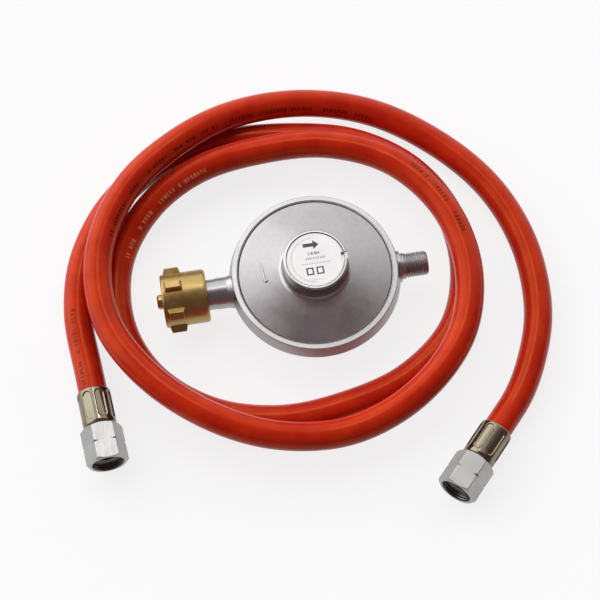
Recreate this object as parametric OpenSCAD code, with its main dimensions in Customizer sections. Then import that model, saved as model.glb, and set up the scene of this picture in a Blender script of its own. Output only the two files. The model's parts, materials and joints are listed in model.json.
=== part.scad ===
// Low pressure gas regulator with its loose connecting hose.
// The regulator stands lid up on the origin, its inlet and outlet along X.
// The hose lies round it in three open loops, with a swivel nut on each end.
// All sizes are in millimetres.

/* [Housing] */
// Outer diameter of the housing at the foot of its rim
rim_d = 90; // [87:0.5:94]
// Width of the rim between the lid and that outside
rim_w = 4.7; // [4:0.1:5.4]
// Part of that width that the slope of the rim's outside takes
rim_slope = 1.7; // [0.8:0.1:2.4]
// Diameter of the flat base
base_d = 52; // [40:1:60]
// Height of the inlet and outlet axis above the base
axis_h = 18; // [17.5:0.1:20]
// Height of the top of the rim above that axis
rim_rise = 11; // [10.6:0.1:13]
// Thickness of the housing floor
floor_t = 4; // [3:0.1:4.6]
// Width of the ledge that clamps the diaphragm
ledge_w = 6.3; // [4:0.1:8]

/* [Lid] */
// Thickness of the lid at its edge
lid_edge_t = 2.4; // [2:0.1:3]
// Rise of the lid from its edge to the boss
lid_rise = 4.5; // [3.5:0.1:6]
// Width of the boss's lip round the cap
boss_lip_w = 1.4; // [1:0.1:2.4]
// Height of the boss above its foot on the lid
boss_h = 11.6; // [10.8:0.1:14]
// Radius of the fillet round the foot of the boss
boss_fillet = 3; // [1.5:0.1:4]
// Bore of the boss, which holds the spring and its ring
boss_bore_d = 27; // [26.5:0.1:28]
// Depth of the recess for the cap
cap_seat_h = 2.5; // [2:0.1:3.2]
// Width of the breather notch in the lip of the boss
notch_w = 4; // [2:0.5:6]

/* [Cap and label] */
// Diameter of the cap
cap_d = 30.2; // [28.6:0.1:30.6]
// Thickness of the cap
cap_t = 1.9; // [1.4:0.1:2]
// Width of the cap's bare edge round the label
label_inset = 0.6; // [0.4:0.1:3]
// Thickness of the label
label_t = 0.2; // [0.15:0.05:0.3]

/* [Spring and diaphragm] */
// Lift of the diaphragm from open to shut
lift = 2.2; // [1.4:0.1:2.3]
// Thickness of the rubber diaphragm
diaphragm_t = 1; // [0.8:0.1:1.2]
// Depth of the diaphragm's dish with the valve open
dish = 3; // [2.6:0.1:3.1]
// Diameter of the stiff centre plate
plate_d = 34; // [28:1:36]
// Thickness of the centre plate and of the spring cup
plate_t = 1; // [0.8:0.1:1.2]
// Height of the adjusting ring
ring_h = 3; // [2.5:0.1:3.2]
// Mean diameter of the main spring
spring_d = 20; // [17:0.5:21]
// Diameter of the spring wire
wire_d = 1.6; // [1.2:0.1:1.7]
// Number of turns of the spring
turns = 5; // [4:1:5]

/* [Valve] */
// Distance from the housing's inner wall to the lever pin
pin_inset = 18; // [17:0.1:18.5]
// Height of the plunger axis above the lever pin
lever_rise = 8.5; // [8:0.1:8.8]
// Diameter of the lever pin
pin_d = 2.5; // [2:0.1:3]
// Width of the lever
lever_w = 5; // [4:0.1:5.6]
// Diameter of the plunger
plunger_d = 6; // [5.6:0.1:6.4]
// Gap that is left between the seat pad and the jet with the valve shut
seat_spare = 0.08; // [0.05:0.01:0.2]
// Bore of the jet
jet_bore_d = 1.4; // [0.8:0.1:2]

/* [Inlet] */
// Diameter of the inlet stem
stem_d = 16; // [15:0.1:17]
// Length of the stem outside the rim
stem_len = 16.8; // [15.5:0.1:20.5]
// Outer diameter of the inlet nut
nut_d = 28; // [26.5:0.1:30]
// Length of the inlet nut
nut_len = 23.5; // [21:0.1:26]
// Minor diameter of the inlet nut's thread
nut_bore_d = 20.4; // [20:0.1:21]
// Thickness of the inlet nut's back wall
nut_wall_t = 4.5; // [3:0.1:5]
// Number of lugs on the inlet nut
lugs = 6; // [3:1:8]
// Height of the lugs
lug_h = 3; // [2:0.1:3.4]
// Length of the lugs at their foot
lug_len = 9.6; // [7:0.1:12]
// Width of the lugs at their foot
lug_w = 6; // [4:0.1:7]
// Diameter of the nose where it meets the cylinder valve
nose_d = 7.8; // [7:0.1:8.4]
// How far the nose stands out of the nut
nose_out = 3; // [1:0.1:5]
// Bore of the nose
nose_bore_d = 4; // [3:0.1:4.4]

/* [Outlet] */
// Outside diameter of the outlet thread, G 1/4
thread_d = 13.16; // [13.16:0.01:13.16]
// How far the housing's outlet boss stands out of the rim
outlet_boss_out = 0.4; // [0.2:0.1:3]
// Length of the plain neck between the boss and the thread
neck_len = 2.1; // [1.5:0.1:4]
// Length of the outlet thread
thread_len = 11.6; // [10:0.1:12.2]
// Bore of the outlet
outlet_bore_d = 6.4; // [5:0.1:7]

/* [Hose] */
// Outside diameter of the hose
hose_d = 15; // [14:0.1:15]
// Bore of the hose
hose_bore_d = 8; // [7.4:0.1:8.6]

/* [Hose fittings] */
// Length of the crimped ferrules
ferrule_len = 20; // [18:0.5:22]
// Outside diameter of the ferrules
ferrule_d = 17.4; // [17.2:0.1:17.6]
// Number of crimp marks round a ferrule
crimps = 8; // [6:1:8]
// Width of a crimp mark
crimp_w = 4.6; // [3:0.1:5]
// Length of a crimp mark
crimp_len = 14.5; // [10:0.5:15]
// Size of the swivel nuts across the flats
hex_af = 19; // [18:0.5:20]
// Length of the swivel nuts
hex_len = 20; // [18:0.5:22]
// Minor diameter of the swivel nuts' thread, G 1/4 left hand
hex_bore_d = 11.44; // [11.44:0.01:11.44]
// Diameter of the bevel at the mouth of the swivel nuts
mouth_d = 17.2; // [16.4:0.1:17.4]
// Slope of both fittings, rising towards the mouth, in degrees
fitting_tilt = 5; // [4.5:0.1:5.2]
// Height of the fittings' axis where the hose goes in
fitting_h = 8.85; // [8.8:0.01:8.9]

/* [Clearances] */
// Radial gap of a turning or sliding fit
run_gap = 0.05; // [0.03:0.01:0.08]
// Radial gap of pieces screwed or pressed together
fix_gap = 0.02; // [0.01:0.01:0.05]
// Gap between faces of pieces that move past each other
face_gap = 0.3; // [0.2:0.05:0.4]
// Gap between the lid and the rim
seam_gap = 0.2; // [0.1:0.05:0.3]

/* [Hidden] */
$fn = 96;

// Housing and lid
rim_r = rim_d / 2;
rim_top = axis_h + rim_rise;
seam_r = rim_r - rim_w;
lid_r = seam_r - seam_gap;
bowl_r = seam_r - ledge_w;
base_r = base_d / 2;
foot_h = 3;                                   // height where the base's foot meets the underside
foot_flare = 4;
rim_edge = 0.4;                               // rounding of the outer edge of the rim's flat top
rim_lead = 0.6;                               // bevel of its inner edge, round the lid
band_h = 7.5;                                 // height of the straight band under the rim's top
belly_h = 8.5;                                // height of the taper under that band
belly_in = 5.5;
bowl_flat_in = 9;                             // the bowl's rounded bottom corner
bowl_knee_in = 5;
bowl_knee_h = 3;
bowl_corner_h = 13;
rim_lip = 0.6;                                // the rim stands this far over the lid's edge
lid_edge_z = rim_top - rim_lip;
lid_under_z = lid_edge_z - lid_edge_t;
ledge_z = lid_under_z - diaphragm_t;
cap_r = cap_d / 2;
recess_r = cap_r + seam_gap;
boss_r = recess_r + boss_lip_w;
boss_foot_z = lid_edge_z + lid_rise;
boss_top_z = boss_foot_z + boss_h;
lid_slope = atan(lid_rise / (lid_r - boss_r));
cap_seat_z = boss_top_z - cap_seat_h;
notch_depth = 0.7;
notch_in = 1.6;                               // the notch cuts this far into the cap's edge
edge_r = 0.8;                                 // small rounding of cast edges
lid_chamfer = 0.5;
boss_root = 3;                                // the boss's wall starts this far under its foot
outlet_run = 4;                               // the outlet passage starts this far inside the bowl's wall
journal_len = 4.6;                            // turned journal that shows behind the inlet nut
journal_step = 0.25;                          // the cast stem behind it is larger by this
flare_rise = 1;                               // the stem widens by this where it meets the rim
flare_len = 4;
flare_out = 1.5;                              // part of the flare that stands out of the rim

// Diaphragm stack, from the rubber up
rubber_z = ledge_z - dish;
plate_z = rubber_z + diaphragm_t + run_gap;
cup_z = plate_z + plate_t;
cup_wall = 0.9;
cup_play = 0.3;
cup_r = spring_d / 2 + wire_d / 2 + cup_play + cup_wall;
cup_rim_h = 2.4;
stud_nut_z = cup_z + plate_t;
stud_nut_h = 2.5;
stud_nut_r = 4.6;                             // over the corners
stud_r = 3;
stud_top_r = 2.5;
stud_flange_r = 5;
stud_flange_t = 1.5;
stud_end = 1.5;                               // length of stud that shows above its nut
slot_floor = 1.5;                             // metal left under the lever's slot in the stud
slot_play = 0.3;                              // the slots' sideways play round the lever's ends
flat_out = 0.5;                               // the rubber stays flat this far past the plate
fold_in = 1;                                  // the rubber's slope ends this far inside the bowl
ring_drop = 0.5;
ring_z = cap_seat_z - ring_h - ring_drop;
ring_key_r = 4.6;                             // hexagon socket of the adjusting ring, over the corners
ring_slot_w = 2;
ring_slot_h = 1;

// Lever, plunger and jet
lever_arm = bowl_r - pin_inset;
pin_x = -lever_arm;
pin_z = axis_h - lever_rise;
tip_r = 1.25;                                 // round ends of the lever's two arms
tip_gap = 0.15;                               // play of the round ends in their slots
tip_w = 2.4;
bar_t = 1.5;
hub_r = 2.6;
ear_t = 2;
ear_gap = 0.7;
shut_travel = lift * lever_rise / lever_arm;
plunger_r = plunger_d / 2;
plunger_ahead = 11.3;                         // reach of the plunger in front of and behind the pin
plunger_behind = 3.5;
plunger_front = pin_x - plunger_ahead;
plunger_back = pin_x + plunger_behind;
pad_r = 2.4;
pad_t = 1.2;
pad_proud = 0.3;
pad_front = plunger_front - pad_proud;
jet_cone_len = 1.35;
jet_cone_foot = 1.6;                          // wall round the bore at the cone's foot and at its tip
jet_cone_lip = 0.5;
jet_hex_len = 1.8;
jet_hex_r = 4.4;
jet_tip = pad_front - shut_travel - seat_spare;
jet_hex_x = jet_tip - jet_cone_len;
jet_boss_x = jet_hex_x - jet_hex_len;
jet_boss_r = 6.4;
jet_thread_r = 3.5;
jet_thread_len = 5;
jet_thread_gap = 0.5;                         // free depth behind the jet's thread
guide_set = 0.8;                              // the guide starts this far behind the plunger's front
guide_x = plunger_front + guide_set;
guide_len = 4;
guide_wall = 1.35;
guide_r = plunger_r + run_gap + guide_wall;
pin_end = 0.4;                                // the pin stands this far out of its ears

// Inlet
stem_r = stem_d / 2;
stem_reach = rim_r + stem_len;
stem_bore_r = 5.5;
stem_bore_len = 13;
passage_gap = 0.5;                            // the passage behind the nose is wider than its bore by this
flange_t = 3;
flange_r = nut_bore_d / 2 - 0.4;
nut_back = -(stem_reach - face_gap - nut_wall_t);
nut_mouth = nut_back - nut_len;
nut_round = 2;                                // rounding of the nut's back edge
nut_edge = 0.6;                               // bevel of its front edge
nut_lead = 1;                                 // bevel that leads the thread in
lug_in = 1.6;                                 // the lugs stop short of the mouth
lug_turn = -8;
lug_sink = 0.8;                               // the lugs' feet reach this far into the nut
lug_slope = 1.1;                              // how far their ends and sides lean in
lug_lean = 0.8;
nose_tip = nut_mouth - nose_out;
nose_edge = 0.8;
nose_body_r = 5;
nose_step = nut_mouth + 5.5;
filter_r = 4;
filter_len = 5;
seal_t = 2;
seal_r = 8.4;
seal_edge = 0.5;

// Outlet
thread_r = thread_d / 2;
thread_chamfer = 0.9;
neck_chamfer = 0.8;
outlet_boss_r = 8.4;
outlet_boss_x = rim_r + outlet_boss_out;
thread_start = outlet_boss_x + neck_len + neck_chamfer;
outlet_reach = thread_start + thread_len;
neck_r = 6.9;
spigot_shank_r = 5.6;
spigot_shank_x = bowl_r + 3;
spigot_end_gap = 0.5;                         // free depth behind the spigot's shank
seat_cone_r = 4.7;
seat_cone_len = 3;

// Hose fittings, along each fitting's own axis from where the hose goes in
hose_r = hose_d / 2;
hose_in = ferrule_len - 1.5;                  // length of hose inside a ferrule
hose_lead = hose_d;                           // straight length of hose before a ferrule
floor_gap = 0.1;                              // gap between the hose's end and the ferrule's floor
ferrule_edge = 0.4;
ferrule_round = 1.6;
mark_depth = 0.65;
mark_back = 0.6;                              // the marks sit this far behind the ferrule's middle
nipple_bore_r = 2.75;
nipple_start = 1;
barbs = 3;
barb_first = 2;
barb_step = 4;
barb_h = 0.4;
barb_len = 2.6;
neck_fit_r = 4.5;
head_play = 0.15;
head_r = hex_bore_d / 2 - head_play;
head_len = 5;
head_rim = 1.8;                               // straight part of the head before its cone
nose_wall = 0.6;                              // wall round the bore at the tip of that cone
hex_start = ferrule_len + 0.5;
hex_end = hex_start + hex_len;
hex_wall = 4.1;
head_start = hex_start + hex_wall + face_gap;
head_end = head_start + head_len;
relief_end = head_end + face_gap;             // the nut's thread starts here
relief_depth = 0.35;
hex_face_in = 0.2;                            // the nut's faces are smaller than its flats by this
hex_chamfer = 1.1;
notch_deep = 0.9;                             // notches in the corners, the sign of a left hand thread
notch_half = 1;
notch_over = 0.5;
counter_play = 1.1;                           // the mouth's counterbore clears the spigot's neck by this
counter_len = 3.6;
counter_edge = 0.5;                           // bevel at the mouth, and the cone that leads into the thread
counter_lead = 1.2;
fitting_a = [-123, -41, -85];                 // x and y where the hose goes in, and heading
fitting_b = [79, -94, 227];
turn_a = 21;                                  // rest angles of the two nuts
turn_b = 33;

// Route of the hose's centre line between its two straight ends
ROUTE = [
    [-126, 6, 7.5], [-119, 37, 7.5], [-100, 66, 7.5], [-71, 86, 7.5], [-36, 93, 7.5],
    [0, 91, 7.5], [35, 82, 7.5], [63, 61, 7.5], [79, 30, 7.5], [80, -5, 7.5],
    [67, -36, 7.5], [39, -58, 7.5], [5, -68, 7.5], [-30, -70, 7.5], [-64, -60, 7.5],
    [-91, -37, 7.5], [-104, -6, 7.5], [-101, 29, 8.5], [-82, 57, 12], [-53, 74, 16],
    [-18, 79, 19], [19, 76, 21], [52, 59, 23], [74, 28, 24], [80, -9, 24],
    [69, -45, 24], [41, -72, 21.5], [5, -85, 18.5], [-33, -82, 20], [-67, -66, 23],
    [-95, -39, 23.5], [-111, -6, 22.5], [-110, 32, 22.5], [-91, 66, 24], [-60, 89, 24.5],
    [-26, 103, 20.5], [12, 106, 15], [48, 97, 10], [79, 75, 7.5], [103, 44, 7.5],
    [115, 8, 7.5], [115, -29, 7.5], [105, -59, 7.5]
];
hose_sides = 12;
span_steps = 2;                               // rings for each span of the route

// ---- helpers ----

function arc(cx, cy, r, from, to, steps = 6) =
    [for (i = [0:steps]) let (a = from + (to - from) * i / steps) [cx + r * cos(a), cy + r * sin(a)]];

function unit(v) = v / norm(v);

// Lays a shape made along +Z out along +X from x, on the inlet and outlet axis.
module on_axis(x) {
    translate([x, 0, axis_h]) rotate([0, 90, 0]) children();
}

// A solid of revolution about the inlet and outlet axis; points are [x, radius].
module turned(points) {
    on_axis(0) rotate_extrude() polygon([for (p = points) [p[1], p[0]]]);
}

module tube(r_out, r_in, h) {
    difference() {
        cylinder(r = r_out, h = h);
        translate([0, 0, -1]) cylinder(r = r_in, h = h + 2);
    }
}

// ---- regulator ----

module body_casting() {
    color("silver") difference() {
        union() {
            difference() {
                union() {
                    housing_outside();
                    inlet_stem();
                    on_axis(bowl_r) cylinder(r = outlet_boss_r, h = outlet_boss_x - bowl_r);
                }
                housing_inside();
            }
            jet_boss();
            plunger_guide();
            pin_ears();
        }
        inlet_passage();
        on_axis(bowl_r - outlet_run) cylinder(r = outlet_bore_d / 2, h = outlet_boss_x);
        on_axis(spigot_shank_x) cylinder(r = spigot_shank_r + fix_gap, h = outlet_boss_x);
    }
}

module housing_outside() {
    flat_r = rim_r - rim_slope;
    rotate_extrude() polygon(concat(
        [[0, 0]],
        arc(base_r - edge_r, edge_r, edge_r, -90, -30),
        [[base_r + foot_flare, foot_h], [rim_r - belly_in, rim_top - band_h - belly_h]],
        [[rim_r, rim_top - band_h]],
        arc(flat_r - rim_edge, rim_top - rim_edge, rim_edge, 0, 90),
        [[seam_r + rim_lead, rim_top], [seam_r, rim_top - rim_lead], [0, rim_top - rim_lead]]
    ));
}

module housing_inside() {
    rotate_extrude() polygon([
        [0, floor_t], [bowl_r - bowl_flat_in, floor_t], [bowl_r - bowl_knee_in, floor_t + bowl_knee_h],
        [bowl_r, floor_t + bowl_corner_h],
        [bowl_r, ledge_z], [seam_r, ledge_z], [seam_r, rim_top + 1], [0, rim_top + 1]
    ]);
}

module inlet_stem() {
    cast_r = stem_r + journal_step;
    foot_r = cast_r + flare_rise;
    journal_end = nut_back + journal_len;
    flare_end = -rim_r - flare_out + flare_len;
    on_axis(-stem_reach) cylinder(r = stem_r, h = stem_reach - bowl_r);
    on_axis(journal_end) cylinder(r = cast_r, h = -journal_end - bowl_r);
    on_axis(flare_end - flare_len) cylinder(r1 = cast_r, r2 = foot_r, h = flare_len);
    on_axis(flare_end) cylinder(r = foot_r, h = -flare_end - bowl_r);
}

module inlet_passage() {
    on_axis(-stem_reach - 1) cylinder(r = stem_bore_r, h = stem_bore_len + 1);
    on_axis(-stem_reach) cylinder(r = nose_bore_d / 2 + passage_gap, h = stem_reach + jet_boss_x - 1);
    on_axis(jet_boss_x - jet_thread_len) cylinder(r = jet_thread_r + fix_gap, h = 2 * jet_thread_len);
}

module jet_boss() {
    root = 2;
    on_axis(-bowl_r - root) cylinder(r = jet_boss_r, h = bowl_r + root + jet_boss_x);
}

module plunger_guide() {
    difference() {
        union() {
            on_axis(guide_x) cylinder(r = guide_r, h = guide_len);
            translate([guide_x, -guide_r, floor_t - 1]) cube([guide_len, 2 * guide_r, axis_h - floor_t + 1]);
        }
        on_axis(guide_x - 1) cylinder(r = plunger_r + run_gap, h = guide_len + 2);
    }
}

module pin_ears() {
    for (side = [-1, 1]) {
        translate([pin_x, side * (lever_w / 2 + ear_gap + ear_t / 2), 0]) difference() {
            union() {
                translate([0, 0, pin_z]) rotate([90, 0, 0]) cylinder(r = hub_r, h = ear_t, center = true);
                translate([-hub_r, -ear_t / 2, floor_t - 1]) cube([2 * hub_r, ear_t, pin_z - floor_t + 1]);
            }
            translate([0, 0, pin_z]) rotate([90, 0, 0])
                cylinder(r = pin_d / 2 + fix_gap, h = ear_t + 2, center = true);
        }
    }
}

module lid() {
    fillet_x = boss_r + boss_fillet;
    fillet_z = boss_foot_z - boss_fillet * tan(lid_slope) + boss_fillet / cos(lid_slope);
    color("lightgray") difference() {
        rotate_extrude() polygon(concat(
            [[boss_bore_d / 2, boss_foot_z - boss_root], [bowl_r, lid_under_z], [lid_r, lid_under_z]],
            [[lid_r, lid_edge_z - lid_chamfer]],
            [[lid_r - lid_chamfer, lid_edge_z + lid_chamfer * tan(lid_slope)]],
            arc(fillet_x, fillet_z, boss_fillet, 270 - lid_slope, 180, 10),
            arc(boss_r - edge_r, boss_top_z - edge_r, edge_r, 0, 90, 8),
            [[recess_r, boss_top_z], [recess_r, cap_seat_z]],
            [[boss_bore_d / 2, cap_seat_z]]
        ));
        translate([cap_r - notch_in, -notch_w / 2, boss_top_z - notch_depth]) cube([boss_r, notch_w, 2]);
    }
}

module label_cap() {
    round = 0.4;
    color("whitesmoke") difference() {
        translate([0, 0, cap_seat_z]) rotate_extrude() polygon(concat(
            [[0, 0], [cap_r, 0]],
            arc(cap_r - round, cap_t - round, round, 0, 90),
            [[0, cap_t]]
        ));
        translate([cap_r - notch_in, -notch_w / 2, cap_seat_z - 1]) cube([2 * notch_in, notch_w, cap_t + 2]);
    }
}

module label() {
    color("white") difference() {
        translate([0, 0, cap_seat_z + cap_t]) cylinder(r = cap_r - label_inset, h = label_t);
        translate([cap_r - notch_in - seam_gap, -notch_w / 2 - seam_gap, cap_seat_z])
            cube([2 * notch_in, notch_w + 2 * seam_gap, cap_t + 2]);
    }
}

module adjusting_ring() {
    color("gold") translate([0, 0, ring_z]) difference() {
        cylinder(r = boss_bore_d / 2 - run_gap, h = ring_h);
        translate([0, 0, -1]) cylinder(r = ring_key_r, h = ring_h + 2, $fn = 6);
        translate([-boss_bore_d, -ring_slot_w / 2, ring_h - ring_slot_h])
            cube([2 * boss_bore_d, ring_slot_w, 2 * ring_slot_h]);
    }
}

module main_spring() {
    wire_r = wire_d / 2;
    low = stud_nut_z + fix_gap + wire_r;
    high = ring_z - fix_gap - wire_r;
    turn_steps = 10;
    steps = turns * turn_steps;
    path = [for (i = [0:steps]) let (a = 360 * turns * i / steps)
        [spring_d / 2 * cos(a), spring_d / 2 * sin(a), low + (high - low) * i / steps]];
    color("dimgray") swept_tube(path, wire_r, 0, 6);
    echo(least_gap_of_main_spring = least_gap(path, wire_d, turn_steps - 2));
}

module spring_cup() {
    color("gainsboro") translate([0, 0, cup_z]) union() {
        tube(cup_r, stud_top_r + fix_gap, plate_t);
        tube(cup_r, cup_r - cup_wall, cup_rim_h);
    }
}

module stud_nut() {
    color("gainsboro") translate([0, 0, stud_nut_z]) difference() {
        cylinder(r = stud_nut_r, h = stud_nut_h, $fn = 6);
        translate([0, 0, -1]) cylinder(r = stud_top_r + fix_gap, h = stud_nut_h + 2);
    }
}

module diaphragm_plate() {
    color("gainsboro") translate([0, 0, plate_z]) tube(plate_d / 2, stud_top_r + fix_gap, plate_t);
}

module diaphragm() {
    flat_r = plate_d / 2 + flat_out;
    fold_r = bowl_r - fold_in;
    hole_r = stud_top_r + run_gap;
    lean = diaphragm_t * tan(atan(dish / (fold_r - flat_r)) / 2);
    color("dimgray") rotate_extrude() polygon([
        [hole_r, rubber_z], [flat_r, rubber_z], [fold_r, ledge_z], [lid_r, ledge_z],
        [lid_r, lid_under_z], [fold_r - lean, lid_under_z],
        [flat_r - lean, rubber_z + diaphragm_t], [hole_r, rubber_z + diaphragm_t]
    ]);
}

module diaphragm_stud() {
    foot_z = pin_z - tip_r - tip_gap - slot_floor;
    flange_z = rubber_z - run_gap - stud_flange_t;
    end_z = stud_nut_z + stud_nut_h + stud_end;
    color("goldenrod") difference() {
        union() {
            translate([0, 0, foot_z]) cylinder(r = stud_r, h = rubber_z - run_gap - foot_z);
            translate([0, 0, flange_z]) cylinder(r = stud_flange_r, h = stud_flange_t);
            translate([0, 0, flange_z]) cylinder(r = stud_top_r, h = end_z - flange_z);
        }
        translate([-stud_r - 1, -tip_w / 2 - slot_play, pin_z - tip_r - tip_gap])
            cube([2 * stud_r + 2, tip_w + 2 * slot_play, 2 * (tip_r + tip_gap)]);
    }
}

module lever() {
    color("slategray") translate([pin_x, 0, pin_z]) rotate([90, 0, 0]) difference() {
        union() {
            linear_extrude(lever_w, center = true) {
                circle(r = hub_r);
                translate([0, -bar_t / 2]) square([lever_arm - stud_r - 1.5, bar_t]);
            }
            linear_extrude(tip_w, center = true) {
                translate([0, -bar_t / 2]) square([lever_arm, bar_t]);
                translate([lever_arm, 0]) circle(r = tip_r);
                translate([-bar_t / 2 + 0.1, 0]) square([bar_t - 0.2, lever_rise]);
                translate([0, lever_rise]) circle(r = tip_r);
            }
        }
        cylinder(d = pin_d + 2 * run_gap, h = lever_w + 2, center = true);
    }
}

module lever_pin() {
    half = lever_w / 2 + ear_gap + ear_t + pin_end;
    color("gainsboro") translate([pin_x, half, pin_z]) rotate([90, 0, 0]) cylinder(d = pin_d, h = 2 * half);
}

module plunger() {
    slot_x = tip_r + tip_gap;
    color("goldenrod") difference() {
        on_axis(plunger_front) cylinder(r = plunger_r, h = plunger_back - plunger_front);
        on_axis(plunger_front - 1) cylinder(r = pad_r + fix_gap, h = pad_t + 1);
        translate([pin_x - slot_x, -tip_w / 2 - slot_play, axis_h - plunger_r - 1])
            cube([2 * slot_x, tip_w + 2 * slot_play, plunger_r + 1 + tip_r + tip_gap]);
    }
}

module seat_pad() {
    color("black") on_axis(pad_front) cylinder(r = pad_r, h = pad_t + pad_proud - fix_gap);
}

module jet() {
    bore = jet_bore_d / 2;
    foot_r = bore + jet_cone_foot;
    back = jet_boss_x - jet_thread_len + jet_thread_gap;
    color("gold") difference() {
        union() {
            on_axis(back) cylinder(r = jet_thread_r, h = jet_thread_len);
            on_axis(jet_boss_x) cylinder(r = jet_hex_r, h = jet_hex_len, $fn = 6);
            turned([
                [jet_boss_x, 0], [jet_boss_x, foot_r], [jet_hex_x, foot_r],
                [jet_tip, bore + jet_cone_lip], [jet_tip, 0]
            ]);
        }
        on_axis(back - 1) cylinder(r = bore, h = jet_tip - back + 2);
    }
}

module inlet_nose() {
    bore = nose_bore_d / 2;
    shank = stem_bore_r - fix_gap;
    pocket = filter_r + fix_gap;
    shank_end = -stem_reach + stem_bore_len - 1;
    color("goldenrod") turned(concat(
        [[shank_end, pocket], [shank_end, shank], [-stem_reach, shank], [-stem_reach, flange_r]],
        [[-stem_reach - flange_t, flange_r], [-stem_reach - flange_t, nose_body_r]],
        [[nose_step + 1, nose_body_r], [nose_step, nose_d / 2], [nose_tip + nose_edge, nose_d / 2]],
        [[nose_tip, nose_d / 2 - nose_edge], [nose_tip, bore]],
        [[shank_end - filter_len, bore], [shank_end - filter_len, pocket]]
    ));
}

module inlet_filter() {
    shank_end = -stem_reach + stem_bore_len - 1;
    color("peru") on_axis(shank_end - filter_len) cylinder(r = filter_r, h = filter_len);
}

module inlet_seal() {
    back = -stem_reach - flange_t;
    color("black") turned([
        [back, nose_body_r + run_gap], [back, seal_r], [back - seal_t + seal_edge, seal_r],
        [back - seal_t, seal_r - seal_edge], [back - seal_t, nose_body_r + run_gap]
    ]);
}

module inlet_nut() {
    nut_r = nut_d / 2;
    bore = nut_bore_d / 2;
    hole = stem_r + run_gap;
    color("darkgoldenrod") union() {
        turned(concat(
            [[nut_back, hole]],
            arc(nut_back - nut_round, nut_r - nut_round, nut_round, 0, 90, 8),
            [[nut_mouth + nut_edge, nut_r], [nut_mouth, nut_r - nut_edge]],
            [[nut_mouth, bore + nut_lead], [nut_mouth + nut_lead, bore]],
            [[nut_back - nut_wall_t, bore], [nut_back - nut_wall_t, hole]]
        ));
        for (i = [0:lugs - 1]) {
            translate([nut_mouth + lug_in, 0, axis_h]) rotate([lug_turn + 360 / lugs * i, 0, 0]) lug();
        }
    }
}

// One lug, standing up along +Z at the nut's axis and running along +X.
module lug() {
    foot = nut_d / 2 - lug_sink;
    top = nut_d / 2 + lug_h;
    top_w = lug_w - 2 * lug_lean;
    intersection() {
        rotate([90, 0, 0]) linear_extrude(lug_w + 2, center = true)
            polygon([[0, foot], [lug_len, foot], [lug_len - lug_slope, top], [lug_slope, top]]);
        rotate([90, 0, 90]) linear_extrude(lug_len)
            polygon([[-lug_w / 2, foot], [lug_w / 2, foot], [top_w / 2, top], [-top_w / 2, top]]);
    }
}

module outlet_spigot() {
    bore = outlet_bore_d / 2;
    color("gray") turned([
        [spigot_shank_x + spigot_end_gap, bore], [spigot_shank_x + spigot_end_gap, spigot_shank_r],
        [outlet_boss_x, spigot_shank_r],
        [outlet_boss_x, neck_r], [thread_start - neck_chamfer, neck_r], [thread_start, thread_r],
        [outlet_reach - thread_chamfer, thread_r], [outlet_reach, thread_r - thread_chamfer],
        [outlet_reach, seat_cone_r],
        [outlet_reach - seat_cone_len, bore]
    ]);
}

// ---- hose ----

// Places a shape made along +Z on the axis of one end of the hose.
module at_fitting(f) {
    translate([f[0], f[1], fitting_h]) rotate([0, -fitting_tilt, f[2]]) rotate([0, 90, 0]) children();
}

function fitting_dir(f) = [
    cos(f[2]) * cos(fitting_tilt), sin(f[2]) * cos(fitting_tilt), sin(fitting_tilt)
];
function fitting_point(f, s) = [f[0], f[1], fitting_h] + fitting_dir(f) * s;

knots = concat([fitting_point(fitting_a, -hose_lead)], ROUTE, [fitting_point(fitting_b, -hose_lead)]);
last = len(knots) - 1;
slopes = [for (i = [0:last])
    i == 0 ? -fitting_dir(fitting_a) * norm(knots[1] - knots[0])
    : i == last ? fitting_dir(fitting_b) * norm(knots[last] - knots[last - 1])
    : (knots[i + 1] - knots[i - 1]) / 2];

// A point on the smooth curve through the knots; the floor carries it from below.
function on_route(i, t) =
    let (a = 2 * t * t * t - 3 * t * t + 1,
         b = t * t * t - 2 * t * t + t,
         c = t * t * t - t * t,
         p = knots[i] * a + slopes[i] * b + knots[i + 1] * (1 - a) + slopes[i + 1] * c)
    [p[0], p[1], max(p[2], hose_r)];

function route_points(steps) = concat(
    [fitting_point(fitting_a, hose_in), fitting_point(fitting_a, 0)],
    [for (i = [0:last - 1]) for (k = [0:steps - 1]) on_route(i, k / steps)],
    [knots[last], fitting_point(fitting_b, 0), fitting_point(fitting_b, hose_in)]
);

// Least distance between stretches of a path that are far apart along it.
function from_segment(p, a, b) =
    let (t = max(0, min(1, (p - a) * (b - a) / ((b - a) * (b - a))))) norm(p - a - (b - a) * t);
function least_gap(path, d, skip) = min([
    for (i = [0:len(path) - 1]) for (j = [i + skip:1:len(path) - 2])
        from_segment(path[i], path[j], path[j + 1])
]) - d;

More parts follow.
